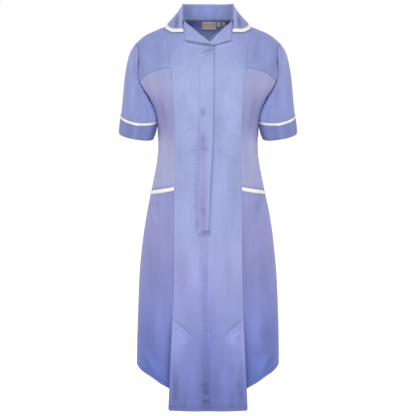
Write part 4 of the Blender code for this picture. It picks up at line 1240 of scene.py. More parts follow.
# Painted light and shade on the bodice's side; the large light rows offset the real shade in the crevice under the
# arm.
BODICE_PAINTED_SHADING = (
    (0.1880, -0.1480, 0.1460, -0.2240, 0.0062, 0.44),
    (0.1530, -0.2080, 0.1335, -0.2860, 0.0060, 0.44),
    (0.1810, -0.1580, 0.1770, -0.1880, 0.0042, -0.20),
    (0.1745, -0.1560, 0.1600, -0.1480, 0.0036, -0.08),
    (0.1480, -0.1600, 0.1250, -0.1900, 0.0080, 0.03),
    (0.1350, -0.1900, 0.1180, -0.2300, 0.0060, -0.03),
    (0.1290, -0.2150, 0.1210, -0.3000, 0.0050, 0.04),
    (0.1080, -0.2100, 0.1060, -0.3100, 0.0060, -0.05),
    (0.1300, -0.3250, 0.1240, -0.4100, 0.0070, 0.03),
    (0.1080, -0.3400, 0.1060, -0.4400, 0.0050, -0.03),
    (0.1260, -0.4260, 0.1200, -0.4480, 0.0040, -0.04),
)
POCKET_BACKING_DEPTH = 0.0300
LAYER = 0.0026


def yoke_sheet(side):
    """The yoke's outer face."""
    stations = finer(YOKE_PRINCESS, SIDE_DENSE)
    outer = armhole(finer(ARMHOLE_TURNS[: YOKE_ROWS + 1], SIDE_DENSE))
    bend = finer(np.linspace(1, BUST_SEAM_BEND, YOKE_ROWS + 1), SIDE_DENSE)
    across = np.linspace(0, 1, SIDE_COLUMNS * SIDE_DENSE + 1)
    points, normals = laid_out(ruled(princess_seam(stations), outer, across, bend), side)
    x, z = np.abs(points[..., 0]), points[..., 2]
    lift = FACE_LIFT + folds(x, z, YOKE_FOLDS) + waves(x, z, 0.0010, 21 + side, 0.06, 0.11)
    lift = lift + seam_hollow(points, 0.6, 0.9, 1.0, 0.9, seed=5 + side)
    to_bust = arc(points, 0)[-1:] - arc(points, 0)
    to_arm = arc(points, 1)[:, -1:] - arc(points, 1)
    # Painted shadow above the bust seam and along the armhole.
    painted_shading = folds(x, z, YOKE_PAINTED_SHADING) - 0.07 * near(to_bust, 0.0040) - 0.05 * near(to_arm, 0.0030)
    return raised(points, normals, lift, painted_shading=painted_shading)


def bodice_sheet(side):
    """The bodice side's outer face, with its run behind the pocket's mouth."""
    outer = followed(armhole(ARMHOLE_TURNS[YOKE_ROWS:]), side_seam(BODICE_SIDE))
    bend = np.concatenate(
        [
            np.linspace(BUST_SEAM_BEND, 1, ARM_ROWS + 2),
            np.linspace(1, POCKET_BEND, BODICE_ROWS)[1:],
        ]
    )
    stations = finer(BODICE_PRINCESS, SIDE_DENSE)
    turns = armhole(finer(ARMHOLE_TURNS[YOKE_ROWS:], SIDE_DENSE))
    outer = followed(turns, side_seam(finer(BODICE_SIDE, SIDE_DENSE)))
    across = np.linspace(0, 1, SIDE_COLUMNS * SIDE_DENSE + 1)
    grid = ruled(princess_seam(stations), outer, across, finer(bend, SIDE_DENSE))
    row = np.arange(len(stations))
    tuck = np.clip((row - (len(stations) - 1 - 6)) / 6, 0, 1)
    grid[..., 2] = -LAYER * (tuck**2)[:, None]
    backing = np.repeat(grid[-1:], 6, 0)
    backing[..., 1] -= (POCKET_BACKING_DEPTH * np.linspace(0, 1, 7)[1:])[:, None]
    grid = np.concatenate([grid, backing])
    points, normals = laid_out(grid, side)
    x, z = np.abs(points[..., 0]), points[..., 2]
    above = ease(z, -0.455, -0.42)
    lift = FACE_LIFT + (folds(x, z, BODICE_FOLDS) + waves(x, z, 0.0012, 31 + side, 0.05, 0.3)) * above
    lift = lift + seam_hollow(points, 0.35, 1.0, 0.9, 0.0, seed=7 + side)
    # Painted highlight just below the bust seam.
    painted_shading = folds(x, z, BODICE_PAINTED_SHADING) + 0.05 * near(arc(points, 0) - 0.004, 0.0050)
    return raised(points, normals, lift, painted_shading=painted_shading)


for own, side in (("left", 1), ("right", -1)):
    name = f"yoke_{own}"
    sewn(name + "_cloth", [yoke_sheet(side)], "yoke", name)
    name = f"bodice_side_{own}"
    sewn(name + "_cloth", [bodice_sheet(side)], "bodice_side", name)

# %% [markdown]
# ## Skirt sides and kick pleats
# The skirt's side starts at the white pocket binding and hangs to a narrow stitched hem
# that climbs towards the side seam. Its front edge runs on under the centre front as the
# inside of the kick pleat, and the centre front's own edge is folded back over it.

# %% Skirt sides and pleats
SKIRT_DENSE = 11
PLEAT_DEPTH = 0.0480
PLEAT_SLOPE = 0.0400
PLEAT_GAPE = 0.0080
PLEAT_FOLD_LOWER = 0.0090
PLEAT_FOLD_INSET = 0.0010
SKIRT_FOLDS = (
    (0.1130, -0.4650, 0.1010, -0.4760, 0.0035, -0.0012),
    (0.1010, -0.4620, 0.1120, -0.4860, 0.0040, 0.0010),
    (0.1380, -0.4820, 0.1330, -0.5250, 0.0050, -0.0016),
    (0.1450, -0.4900, 0.1420, -0.5500, 0.0070, 0.0012),
    (0.1150, -0.5400, 0.1180, -0.6600, 0.0130, 0.0014),
    (0.1500, -0.5900, 0.1530, -0.7400, 0.0170, -0.0018),
    (0.1750, -0.6500, 0.1780, -0.8000, 0.0140, 0.0018),
    (0.1300, -0.7200, 0.1330, -0.9000, 0.0170, 0.0020),
    (0.1620, -0.8000, 0.1640, -0.9400, 0.0160, -0.0020),
    (0.1750, -0.8900, 0.1300, -0.9550, 0.0120, 0.0024),
    (0.1850, -0.9100, 0.1500, -0.9560, 0.0070, -0.0012),
)


# Painted shadows, highlights and sheen on the skirt's sides.
SKIRT_PAINTED_SHADING = (
    (0.1366, -0.4720, 0.1364, -0.5150, 0.0036, -0.08),
    (0.1293, -0.4850, 0.1290, -0.5060, 0.0050, -0.05),
    (0.1440, -0.4800, 0.1450, -0.5600, 0.0050, 0.03),
    (0.1000, -0.4650, 0.1120, -0.4720, 0.0025, -0.09),
    (0.1120, -0.5600, 0.1140, -0.7400, 0.0090, 0.03),
    (0.1500, -0.5900, 0.1560, -0.7600, 0.0120, -0.03),
    (0.1320, -0.7000, 0.1350, -0.9000, 0.0120, 0.03),
    (0.1690, -0.9120, 0.1320, -0.9640, 0.0080, 0.07),
    (0.1850, -0.9180, 0.1450, -0.9680, 0.0055, -0.10),
    (0.1050, -0.6480, 0.1500, -0.6440, 0.0024, -0.05),
    (0.1200, -0.6520, 0.1800, -0.6460, 0.0030, 0.03),
    (0.1150, -0.9000, 0.1130, -0.9850, 0.0050, -0.06),
    (0.1900, -0.8300, 0.1930, -0.9350, 0.0060, -0.07),
)


def skirt_grid(dense):
    """The solid's skirt side as (angle, z, lift), set back where the pleat opens."""
    stations = finer(
        joined(SKIRT_PRINCESS, steps(PLEAT_TOP_Z, SIDE_HEM_INNER_Z, PLEAT_ROWS)), dense
    )
    bend = np.linspace(POCKET_BEND, HEM_BEND, len(stations))
    across = np.linspace(0, 1, SIDE_COLUMNS * dense + 1)
    grid = ruled(princess_seam(stations), side_seam(finer(SKIRT_SIDE, dense)), across, bend)
    fade = np.linspace(0, 1, len(stations))[:, None] ** HEM_FADE_POWER
    grid[..., 1] += (table(HEM_ROWS, HEM_COLUMNS, "share", "z", across) - grid[-1, :, 1]) * fade
    low = PLEAT_ROWS * dense
    drop = np.zeros(len(stations))
    drop[-low - 1:] = -2 * LAYER - PLEAT_GAPE * np.linspace(0, 1, low + 1)
    drop[-low - 1 - dense:-low - 1] = -2 * LAYER * np.linspace(0, 1, dense, endpoint=False)
    grid[..., 2] = drop[:, None] * np.clip(1 - 2 * across, 0, 1)[None, :] ** 1.5
    return grid


def skirt_lift(points, side):
    """Folds, drape and sewn edges of a skirt side."""
    x, z = np.abs(points[..., 0]), points[..., 2]
    seam_side = ease(z[:, 0], PLEAT_TOP_Z - 0.01, PLEAT_TOP_Z + 0.01)
    lift = FACE_LIFT + folds(x, z, SKIRT_FOLDS) + waves(x, z, 0.0022, 41 + side, 0.07, 0.5)
    lift = lift + seam_hollow(points, seam_side, 1.0, 0.0, 0.0, seed=9 + side)
    to_hem = arc(points, 0)[-1:] - arc(points, 0)
    # Painted shadows: a line under the hem stitching and a darker band beside the pleat.
    painted_shading = folds(x, z, SKIRT_PAINTED_SHADING) - 0.06 * near(to_hem - HEM_STITCH, 0.0018)
    beside = ease(-z, 0.805, 0.850) * near(x - princess_x(z) - 0.002, 0.0090)
    return lift - 0.0009 * near(to_hem - HEM_STITCH, 0.0018), painted_shading - 0.12 * beside


def skirt_sheets(side):
    """The skirt side's outer face, and the part of it that lies under the front."""
    grid = skirt_grid(SKIRT_DENSE)
    points, normals = laid_out(grid, side)
    lift, painted_shading = skirt_lift(points, side)
    main = raised(points, normals, lift, painted_shading=painted_shading)
    low = PLEAT_ROWS * SKIRT_DENSE
    edge = grid[-low - 1:, 0]
    edge_x = body(edge[:, 0], edge[:, 1])[:, 0]
    down = (edge[:, 1] - edge[0, 1]) / (edge[-1, 1] - edge[0, 1])
    share = np.linspace(0, 1, 13)[None, :]
    z = edge[:, 1:2] - PLEAT_SLOPE * share * (1 - down[:, None])
    angle = angle_at(edge_x[:, None] - PLEAT_DEPTH * share, z)
    lift = edge[:, 2:3] * (1 - share) - 2 * LAYER * share + FACE_LIFT
    under = np.stack([angle, z, lift], -1)[:, ::-1]
    return [main, laid_out(under, side)]


def pleat_sheet(side):
    """The front's own part of the pleat, folded back under its edge."""
    stations = finer(steps(PLEAT_TOP_Z - PLEAT_FOLD_LOWER, FRONT_HEM_Z, PLEAT_ROWS), SKIRT_DENSE)
    down = (stations - stations[0]) / (stations[-1] - stations[0])
    share = np.linspace(1, 0, 13)[None, :]
    z = stations[:, None] - PLEAT_SLOPE * share * (1 - down[:, None])
    x = princess_x(stations)[:, None] - PLEAT_FOLD_INSET - PLEAT_DEPTH * share
    lift = np.full_like(z, -LAYER + FACE_LIFT)
    return laid_out(np.stack([angle_at(x, z), z, lift], -1), side)


def pocket_trim_sheet(side):
    """The pocket's binding: the top of the skirt side moved out, rounded over."""
    grid = skirt_grid(SKIRT_DENSE)[: SKIRT_DENSE + 1]
    points, normals = laid_out(grid, side)
    across = np.linspace(-1, 1, grid.shape[0])[:, None]
    lift = 0.0019 + 0.0009 * np.sqrt(np.clip(1 - across**2 * 0.92, 0, 1)) + 0 * points[..., 0]
    return raised(points, normals, lift)


for own, side in (("left", 1), ("right", -1)):
    name = f"skirt_side_{own}"
    skirt = skirt_sheets(side)
    surfaces[name] = skirt[0]
    sewn(name + "_cloth", skirt, "skirt_side", name)
    name = f"pleat_fold_{own}"
    sewn(name + "_cloth", [pleat_sheet(side)], "skirt_side", name)
    name = f"pocket_trim_{own}"
    binding = [pocket_trim_sheet(side)]
    surfaces[name] = binding[0]
    sewn(name + "_cloth", binding, "trim", name, thickness=0.0012)

# %% [markdown]
# ## Back
# The back is one piece from shoulder to hem, taken in at the waist by two long darts. The
# photograph doesn't show it, so it is finished plainly, with the same kind of folds as
# the front: across the small of the back, below the armholes and down the skirt.

# %% Back
BACK_DENSE_ROWS = 8
BACK_DENSE_COLUMNS = 5
BACK_FOLDS = (
    (-0.0300, -0.3250, 0.0500, -0.3400, 0.0110, 0.0024),
    (-0.0600, -0.3500, 0.0200, -0.3420, 0.0100, -0.0020),
    (0.0000, -0.3750, 0.0650, -0.3650, 0.0110, 0.0018),
    (-0.0700, -0.3000, -0.0200, -0.3100, 0.0090, 0.0014),
    (0.1500, -0.1900, 0.0900, -0.2700, 0.0130, 0.0026),
    (-0.1450, -0.1950, -0.0950, -0.2850, 0.0130, 0.0024),
    (0.1350, -0.2300, 0.0900, -0.3050, 0.0100, -0.0018),
    (-0.1400, -0.2350, -0.0850, -0.3000, 0.0110, -0.0018),
    (0.0600, -0.0900, 0.0500, -0.2000, 0.0180, 0.0016),
    (-0.0650, -0.0850, -0.0450, -0.2100, 0.0180, 0.0016),
    (0.0450, -0.6000, 0.0520, -0.8900, 0.0200, 0.0028),
    (-0.0550, -0.6300, -0.0480, -0.9300, 0.0210, 0.0028),
    (0.0050, -0.5600, -0.0050, -0.8200, 0.0200, -0.0024),
    (0.1250, -0.6200, 0.1350, -0.9200, 0.0200, -0.0024),
    (-0.1200, -0.6500, -0.1300, -0.9300, 0.0190, 0.0022),
    (0.0950, -0.7000, 0.0980, -0.9300, 0.0150, 0.0020),
)
BACK_DARTS = (
    (0.0890, -0.2300, 0.0880, -0.5100, 0.0032, -0.0016),
    (-0.0890, -0.2300, -0.0880, -0.5100, 0.0032, -0.0016),
)


def back_sheet():
    """The whole back as one grid, from the right side seam to the left one."""
    low = SKIRT_ROWS + 2 + PLEAT_ROWS
    stations = finer(
        joined(YOKE_PRINCESS, BODICE_PRINCESS, steps(POCKET_INNER_Z, BACK_HEM_Z, low)),
        BACK_DENSE_ROWS,
    )
    seam = princess_seam(stations, back=True)
    top = [(math.radians(deg), float(neck_z(deg))) for deg in BACK_NECK_DEG]
    top += [(math.pi / 2, z) for z in SHOULDER_SEAM_Z]
    angle, height = np.array(top).T
    top = list(zip(finer(angle, BACK_DENSE_COLUMNS), finer(height, BACK_DENSE_COLUMNS)))
    share = (stations - stations[0]) / (stations[-1] - stations[0])
    edge = (np.full(len(stations), math.pi), top[0][1] + (BACK_HEM_Z - top[0][1]) * share)
    centre = centre_grid(edge, seam, top, TOP_FADE_ROWS * BACK_DENSE_ROWS)
    outer = followed(
        armhole(finer(ARMHOLE_TURNS, BACK_DENSE_ROWS), back=True),
        side_seam(finer(BODICE_SIDE, BACK_DENSE_ROWS)),
        side_seam(finer(SKIRT_SIDE, BACK_DENSE_ROWS)),
    )
    across = np.linspace(0, 1, SIDE_COLUMNS * BACK_DENSE_COLUMNS + 1)
    outside = ruled(seam, outer, across, np.ones(len(stations)))
    half = np.concatenate([centre, outside[:, 1:]], 1)
    points, normals = laid_out(half, 1)
    flip = np.array([-1.0, 1.0, 1.0])
    points = np.concatenate([points[:, :0:-1] * flip, points], 1)
    normals = np.concatenate([normals[:, :0:-1] * flip, normals], 1)
    x, z = points[..., 0], points[..., 2]
    lift = FACE_LIFT + folds(x, z, BACK_FOLDS) + folds(x, z, BACK_DARTS)
    lift = lift + waves(x, z, 0.0030, 51, 0.08, 0.5) * ease(-z, 0.15, 0.6)
    lift = lift + seam_hollow(points, 1.0, 1.0, 0.6, 0.0, seed=13)
    to_hem = arc(points, 0)[-1:] - arc(points, 0)
    lift = lift - 0.0009 * near(to_hem - HEM_STITCH, 0.0018)
    return raised(points, normals, lift)


back = back_sheet()
surfaces["back"] = back
# Painted light: the back's inner face, seen through the neck, is painted lighter against its shade.
BACK_INNER_PAINTED_LIGHT = 1.5
sewn("back_cloth", [back], "back", "back", inner_painted_light=BACK_INNER_PAINTED_LIGHT)

# %% [markdown]
# ## Sleeves and cuffs
# A set-in sleeve is a tube whose head is eased into the armhole, so small gathers stand
# near the seam. The tube's rings are squared ovals between an outermost and an innermost
# point. The cuff is turned up at the hem, with a white band let in along its top.

# %% Sleeve form
SLEEVE_COLUMNS = ("outer_x", "outer_z", "inner_x", "inner_z", "half_depth", "front_drop")
SLEEVE_ROWS = (
    (0.1935, -0.0600, 0.1710, -0.2020, 0.0540, 0.0000),
    (0.2080, -0.0855, 0.1640, -0.2100, 0.0590, 0.0000),
    (0.2172, -0.1220, 0.1550, -0.2205, 0.0620, 0.0005),
    (0.2237, -0.1605, 0.1450, -0.2325, 0.0630, 0.0018),
    (0.2290, -0.1965, 0.1390, -0.2450, 0.0625, 0.0040),
    (0.2342, -0.2315, 0.1355, -0.2565, 0.0610, 0.0070),
    (0.2375, -0.2593, 0.1370, -0.2692, 0.0590, 0.0099),
    (0.2435, -0.3047, 0.1500, -0.3197, 0.0555, 0.0058),
)
SLEEVE_SQUARE = 2.2
SLEEVE_INNER_SQUARE = 3.0
SLEEVE_LIFT = 0.0003
SLEEVE_CLEARANCE = 0.0022
CUFF_START = 6.0
CUFF_CLEARANCE = 0.0050
CUFF_LIFT = 0.0017
CUFF_SWEEP = 0.165
TURNS_DENSE = 6
SLEEVE_FOLD_ROWS = (
    (0.10, 0.6, 0.30, 4.6, 0.16, 0.0022),
    (0.55, 0.3, 0.75, 3.4, 0.14, -0.0020),
    (-0.40, 0.5, -0.30, 4.4, 0.20, -0.0018),
    (1.25, 1.6, 1.05, 5.4, 0.20, 0.0020),
    (1.90, 0.8, 1.55, 4.6, 0.18, -0.0022),
    (-1.30, 1.0, -1.00, 5.2, 0.22, 0.0020),
    (-2.10, 0.8, -1.75, 4.8, 0.20, -0.0020),
    (2.45, 0.4, 2.10, 3.6, 0.15, 0.0020),
)


# Painted highlights and shade on the sleeve, lighter near the underarm against the shade of the gap.
SLEEVE_PAINTED_SHADING = (
    (0.2010, -0.0700, 0.2090, -0.1250, 0.0060, 0.07),
    (0.1960, -0.1150, 0.1980, -0.1750, 0.0060, -0.04),
    (0.2120, -0.1500, 0.2180, -0.2200, 0.0060, -0.04),
    (0.1750, -0.1900, 0.1900, -0.2450, 0.0070, 0.04),
    (0.1960, -0.1520, 0.1570, -0.2180, 0.0045, 0.14),
    (0.1640, -0.2040, 0.1380, -0.2720, 0.0050, 0.24),
)


# Painted light and shade in upright streaks round the cuff.
def cuff_painted_streaks(turn):
    """Slow upright streaks round the cuff: three sine waves of the turn."""
    return 0.060 * (np.sin(9 * turn + 0.6) + np.sin(14 * turn + 2.0) * np.sin(3 * turn))


def sleeve_ring(rings, turn):
    """Ring points: middle + half size times a squared circle, outermost at turn 0."""
    index = np.arange(len(SLEEVE_ROWS), dtype=float)
    sizes = {
        name: smooth(index, column(SLEEVE_ROWS, SLEEVE_COLUMNS, name), rings)[:, None]
        for name in SLEEVE_COLUMNS
    }
    square = np.where(np.cos(turn) < 0, SLEEVE_INNER_SQUARE, SLEEVE_SQUARE)
    reach = (np.abs(np.cos(turn)) ** square + np.abs(np.sin(turn)) ** square) ** (-1 / square)
    out = (reach * np.cos(turn))[None, :]
    forward = (reach * np.sin(turn))[None, :]
    x = (sizes["outer_x"] + sizes["inner_x"]) / 2
    z = (sizes["outer_z"] + sizes["inner_z"]) / 2
    x = x + (sizes["outer_x"] - sizes["inner_x"]) / 2 * out
    z = z + (sizes["outer_z"] - sizes["inner_z"]) / 2 * out - sizes["front_drop"] * forward
    return np.stack([x, -sizes["half_depth"] * forward, z], -1)


def sleeve_surface(rings):
    """The sleeve's rings, led into the armhole's edge at the top, and their turns."""
    rings = np.asarray(rings, float)
    front = armhole(finer(ARMHOLE_TURNS, TURNS_DENSE))
    back_turns = finer(ARMHOLE_TURNS, TURNS_DENSE)[-2:0:-1]
    behind = armhole(back_turns, back=True)
    angle, z = (np.concatenate([f, b]) for f, b in zip(front, behind))
    rim = body(angle, z) + body_normal(angle, z) * SLEEVE_LIFT
    first = dict(zip(SLEEVE_COLUMNS, SLEEVE_ROWS[0]))
    outermost = np.array([first["outer_x"], first["outer_z"]])
    innermost = np.array([first["inner_x"], first["inner_z"]])
    middle, half = (outermost + innermost) / 2, (outermost - innermost) / 2
    out = ((rim[:, [0, 2]] - middle) @ half) / (half @ half)
    turn = np.arctan2(-rim[:, 1] / first["half_depth"], out)
    start = sleeve_ring(np.zeros(1), turn)
    lead = np.clip(1 - rings / 2, 0, 1)[:, None, None] ** 2
    points = sleeve_ring(rings, turn) + (rim[None] - start) * lead
    leave = np.clip(rings, 0, 1)
    cuffed = np.clip(rings - CUFF_START + 1, 0, 1)
    clearance = SLEEVE_LIFT + (SLEEVE_CLEARANCE - SLEEVE_LIFT) * leave
    clearance = clearance + (CUFF_CLEARANCE - SLEEVE_CLEARANCE) * cuffed
    return clear_of_body(points, clearance[:, None]), turn


def cuff_surface(rings):
    """The sleeve's rings, with their top swept up round the sides and the back."""
    form_rings = np.linspace(5.7, 7.0, 66)
    form, turn = sleeve_surface(form_rings)
    rings = np.asarray(rings)[:, None]
    swept = CUFF_SWEEP * np.where(np.sin(turn) > 0, np.abs(np.cos(turn)) ** 1.3, 1.0)
    swept = swept * (1 - 0.85 * ease(rings, 6.19, 7.0))
    place = (rings - swept - form_rings[0]) / (form_rings[1] - form_rings[0])
    row = np.clip(place.astype(int), 0, len(form_rings) - 2)
    t = (place - row)[..., None]
    column_number = np.arange(len(turn))[None, :]
    return form[row, column_number] * (1 - t) + form[row + 1, column_number] * t, turn


def sleeve_folds(rings, turn):
    """Folds over (turn, ring), as folds() makes them over (x, z)."""
    total = np.zeros((len(rings), len(turn)))
    for turn0, ring0, turn1, ring1, width, height in SLEEVE_FOLD_ROWS:
        t = np.clip((rings - ring0) / (ring1 - ring0), 0, 1)[:, None]
        away = turn[None, :] - (turn0 + (turn1 - turn0) * t)
        away = (away + math.pi) % (2 * math.pi) - math.pi
        total += height * np.sin(math.pi * t) ** 0.7 * np.exp(-((away / width) ** 2))
    return total


def sleeve_sheet(rings, side, lift, folded=False):
    """A run of the sleeve's rings moved out by the lift, with folds and gathers."""
    points, turn = sleeve_surface(rings) if folded else cuff_surface(rings)
    normals = grid_normals(points, closed=True)
    normals = normals * np.sign(((points - points.mean(1, keepdims=True)) * normals).sum())
    height = np.zeros(points.shape[:2]) + np.reshape(lift, (-1, 1))
    if folded:
        rings = np.asarray(rings)
        calm = 1 - ease(rings, 5.2, 6.0)
        height += sleeve_folds(rings, turn) * calm[:, None]
        from_seam = arc(points, 0)
        cap = ease(np.cos(turn), -0.1, 0.7)[None, :]
        gathers = np.sin(turn * 31 + 1.3 * np.sin(turn * 7)) * (0.6 + 0.4 * np.sin(turn * 5 + 1))
        height += 0.0006 * cap * gathers[None, :] * np.exp(-from_seam / 0.022)
        height -= 0.0007 * near(from_seam, 0.0030)
        height += 0.0006 * near(from_seam - 0.0075, 0.0050)
        painted_shading = folds(points[..., 0], points[..., 2], SLEEVE_PAINTED_SHADING)
        # Painted shadow along the armhole seam, and painted light where the sleeve turns in towards the body,
        # against the shade of the gap.
        painted_shading = painted_shading - 0.08 * near(from_seam, 0.0020)
        painted_shading += 0.45 * ease(-np.cos(turn), 0.46, 0.74)[None, :] * ease(from_seam, 0.0, 0.0100)
    else:
        painted_shading = cuff_painted_streaks(turn)[None, :] + np.zeros_like(height)
    points, normals, shade = raised(points, normals, height, closed=True, painted_shading=painted_shading)
    flip = np.array([side, 1.0, 1.0])
    return points * flip, normals * flip, shade


# %% Sleeves, cuffs and their bands
SLEEVE_RINGS = np.concatenate([np.linspace(0, 1, 24), np.linspace(1, 6.96, 76)[1:]])
CUFF_RINGS = np.linspace(6.18, 7.0, 22)
BAND_RINGS = np.linspace(6.0, 6.19, 9)

for own, side in (("left", 1), ("right", -1)):
    name = f"sleeve_{own}"
    sleeve = sleeve_sheet(SLEEVE_RINGS, side, FACE_LIFT, folded=True)
    sewn(name + "_cloth", [sleeve], "sleeve", name, closed=True)
    name = f"cuff_{own}"
    round_over = 0.0012 * (1 - ease(CUFF_RINGS, 6.80, 7.0))
    cuff = sleeve_sheet(CUFF_RINGS, side, CUFF_LIFT - 0.0004 + round_over)
    sewn(name + "_cloth", [cuff], "cuff", name, closed=True)
    name = f"cuff_trim_{own}"
    across = np.linspace(-1, 1, len(BAND_RINGS))
    proud = CUFF_LIFT + 0.0004 + 0.0008 * np.sqrt(1 - 0.92 * across**2)
    band = sleeve_sheet(BAND_RINGS, side, proud)
    surfaces[f"cuff_{own}"] = cuff
    surfaces[name] = band
    sewn(name + "_cloth", [band], "trim", name, closed=True)

# %% [markdown]
# ## Collar and revers
# The collar stands up inside the neck, rolls over a soft fold and falls on the shoulders,
# with a white band along its edge. In front the facings are turned out as revers, and
# their roll is a quarter circle that runs down into the V. The right one laps over.

# %% Collar
COLLAR_COLUMNS = ("degrees", "fold_x", "fold_y", "fold_z", "edge_deg", "edge_z", "bulge")
COLLAR_ROWS = (
    (180.0, 0.0000, 0.0700, 0.0432, 180.0, -0.0160, 0.0030),
    (150.0, 0.0400, 0.0610, 0.0430, 152.0, -0.0170, 0.0025),
    (120.0, 0.0615, 0.0370, 0.0415, 121.0, -0.0178, 0.0012),
    (90.0, 0.0662, 0.0080, 0.0378, 90.0, -0.0168, -0.0005),
    (82.0, 0.0662, -0.0053, 0.0310, 76.0, -0.0212, 0.0000),
    (75.0, 0.0658, -0.0180, 0.0230, 64.0, -0.0308, 0.0010),
    (65.0, 0.0650, -0.0330, 0.0085, 52.5, -0.0386, 0.0020),
    (55.0, 0.0640, -0.0460, -0.0035, 40.0, -0.0382, 0.0030),
)
# Painted shadows and highlights on the collar: the dark line at the fold's top, the fall's shadow and a highlight
# beside it.
COLLAR_PAINTED_SHADING = (
    (0.0805, 0.0140, 0.0835, -0.0340, 0.0052, -0.50),
    (0.0700, 0.0320, 0.0725, -0.0320, 0.0036, 0.16),
    (0.0648, 0.0480, 0.0652, -0.0140, 0.0022, -0.55),
    (0.0900, 0.0020, 0.0980, -0.0240, 0.0050, -0.07),
    (0.0480, 0.0380, 0.0500, 0.0060, 0.0060, -0.07),
    (0.0250, 0.0360, 0.0200, 0.0100, 0.0080, -0.06),
    (0.0380, 0.0400, 0.0340, 0.0080, 0.0050, 0.05),
)
COLLAR_DEG = np.linspace(180.0, 55.0, 76)
COLLAR_SEAM_LIFT = 0.0016
COLLAR_FOLD_HALF = 0.0030
COLLAR_CLEARANCE = 0.0040
NECK_MIDDLE_Y = 0.0100
COLLAR_SHEET = 0.0018
STAND_STEPS = 14
ROLL_STEPS = 8
FALL_STEPS = 24
BAND_STEPS = 8


def collar_half():
    """Stand, roll and fall over the +X half: a row of points for each step down."""
    degrees = COLLAR_DEG
    read = {
        name: table(COLLAR_ROWS, COLLAR_COLUMNS, "degrees", name, degrees)[:, None]
        for name in COLLAR_COLUMNS[1:]
    }
    angle, z = np.radians(degrees), neck_z(degrees)
    seam = body(angle, z) + body_normal(angle, z) * COLLAR_SEAM_LIFT
    fold = np.concatenate([read["fold_x"], read["fold_y"], read["fold_z"]], 1)
    away = unit(fold * [1, 1, 0] - [0, NECK_MIDDLE_Y, 0])
    up = np.array([0, 0, 1.0])
    centre = fold - up * COLLAR_FOLD_HALF
    edge_angle, edge_z = np.radians(read["edge_deg"][:, 0]), read["edge_z"][:, 0]
    edge = body(edge_angle, edge_z) + body_normal(edge_angle, edge_z) * COLLAR_CLEARANCE
    inner, outer = centre - away * COLLAR_FOLD_HALF, centre + away * COLLAR_FOLD_HALF
    rows = [seam + (inner - seam) * t for t in np.linspace(0, 1, STAND_STEPS + 1)]
    for t in np.linspace(0, math.pi, ROLL_STEPS + 1)[1:-1]:
        rows.append(centre + COLLAR_FOLD_HALF * (up * math.sin(t) - away * math.cos(t)))
    chord = edge - outer
    length = np.linalg.norm(chord, axis=1, keepdims=True)
    proud = unit(away - chord * ((away * chord).sum(1, keepdims=True) / length**2))
    split = 1 - TRIM_WIDTH / length
    for share in np.linspace(0, 1, FALL_STEPS + 1):
        t = split * share
        rows.append(outer + chord * t + proud * read["bulge"] * 4 * t * (1 - t))
    for share in np.linspace(0, 1, BAND_STEPS + 1)[1:]:
        t = split + (1 - split) * share
        rows.append(outer + chord * t + proud * read["bulge"] * 4 * t * (1 - t))
    rows = np.stack(rows)
    free = STAND_STEPS + ROLL_STEPS
    rows[free:] = clear_of_body(rows[free:], COLLAR_CLEARANCE)
    return rows


def collar_whole():
    """Both halves as one grid, with normals that point away from the neck's inside."""
    half = collar_half()
    whole = np.concatenate([half[:, :0:-1] * [-1, 1, 1], half], 1)
    return whole, grid_normals(whole)


collar_points, collar_normals = collar_whole()
last_fall = STAND_STEPS + ROLL_STEPS + FALL_STEPS
top_middle = collar_normals[STAND_STEPS + ROLL_STEPS // 2, collar_points.shape[1] // 2]
collar_normals = collar_normals * np.sign(top_middle[2])
soft = waves(arc(collar_points, 1), arc(collar_points, 0), 0.0010, 61, 0.09, 0.12)
collar_points = collar_points + collar_normals * (COLLAR_SHEET / 2 + soft)[..., None]
collar_normals = grid_normals(collar_points)
top_middle = collar_normals[STAND_STEPS + ROLL_STEPS // 2, collar_points.shape[1] // 2]
collar_normals = collar_normals * np.sign(top_middle[2])
collar_shade = 1 + folds(np.abs(collar_points[..., 0]), collar_points[..., 2], COLLAR_PAINTED_SHADING)
from_neck = arc(collar_points, 0)
# A painted highlight above the stand's seam and a painted shadow line at the seam.
collar_shade += 0.10 * near(from_neck - 0.0070, 0.0022) - 0.12 * near(from_neck - 0.0015, 0.0018)
fall = tuple(part[: last_fall + 1] for part in (collar_points, collar_normals, collar_shade))
sewn("collar_cloth", [fall], "collar", "collar", thickness=COLLAR_SHEET)
surfaces["collar"] = fall
band_share = np.linspace(-1, 1, BAND_STEPS + 1)[:, None, None]
band_rise = 0.0006 * np.sqrt(1 - 0.92 * band_share**2)
band_points = collar_points[last_fall:] + collar_normals[last_fall:] * band_rise
band = (band_points, collar_normals[last_fall:])
sewn("collar_trim_cloth", [band], "trim", "collar_trim", thickness=0.0022)

# %% Revers
REVERS_TOP_INNER = (0.0585, -0.0125)
REVERS_TOP_OUTER = (0.0615, -0.0112)
REVERS_COLUMNS = ("right_x", "right_z", "left_x", "left_z")
REVERS_ROWS = (
    (-0.0152, -0.0724, 0.0040, -0.0640),
    (0.0000, -0.0690, 0.0150, -0.0712),
    (0.0200, -0.0652, 0.0260, -0.0682),
    (0.0400, -0.0614, 0.0420, -0.0630),
    (0.0588, -0.0578, 0.0588, -0.0578),
)
REVERS_TIP_LIFT = 0.0026
REVERS_TIP_START = 0.0200
REVERS_TIP_RUN = 0.0150
ROLL_RADIUS = 0.0040


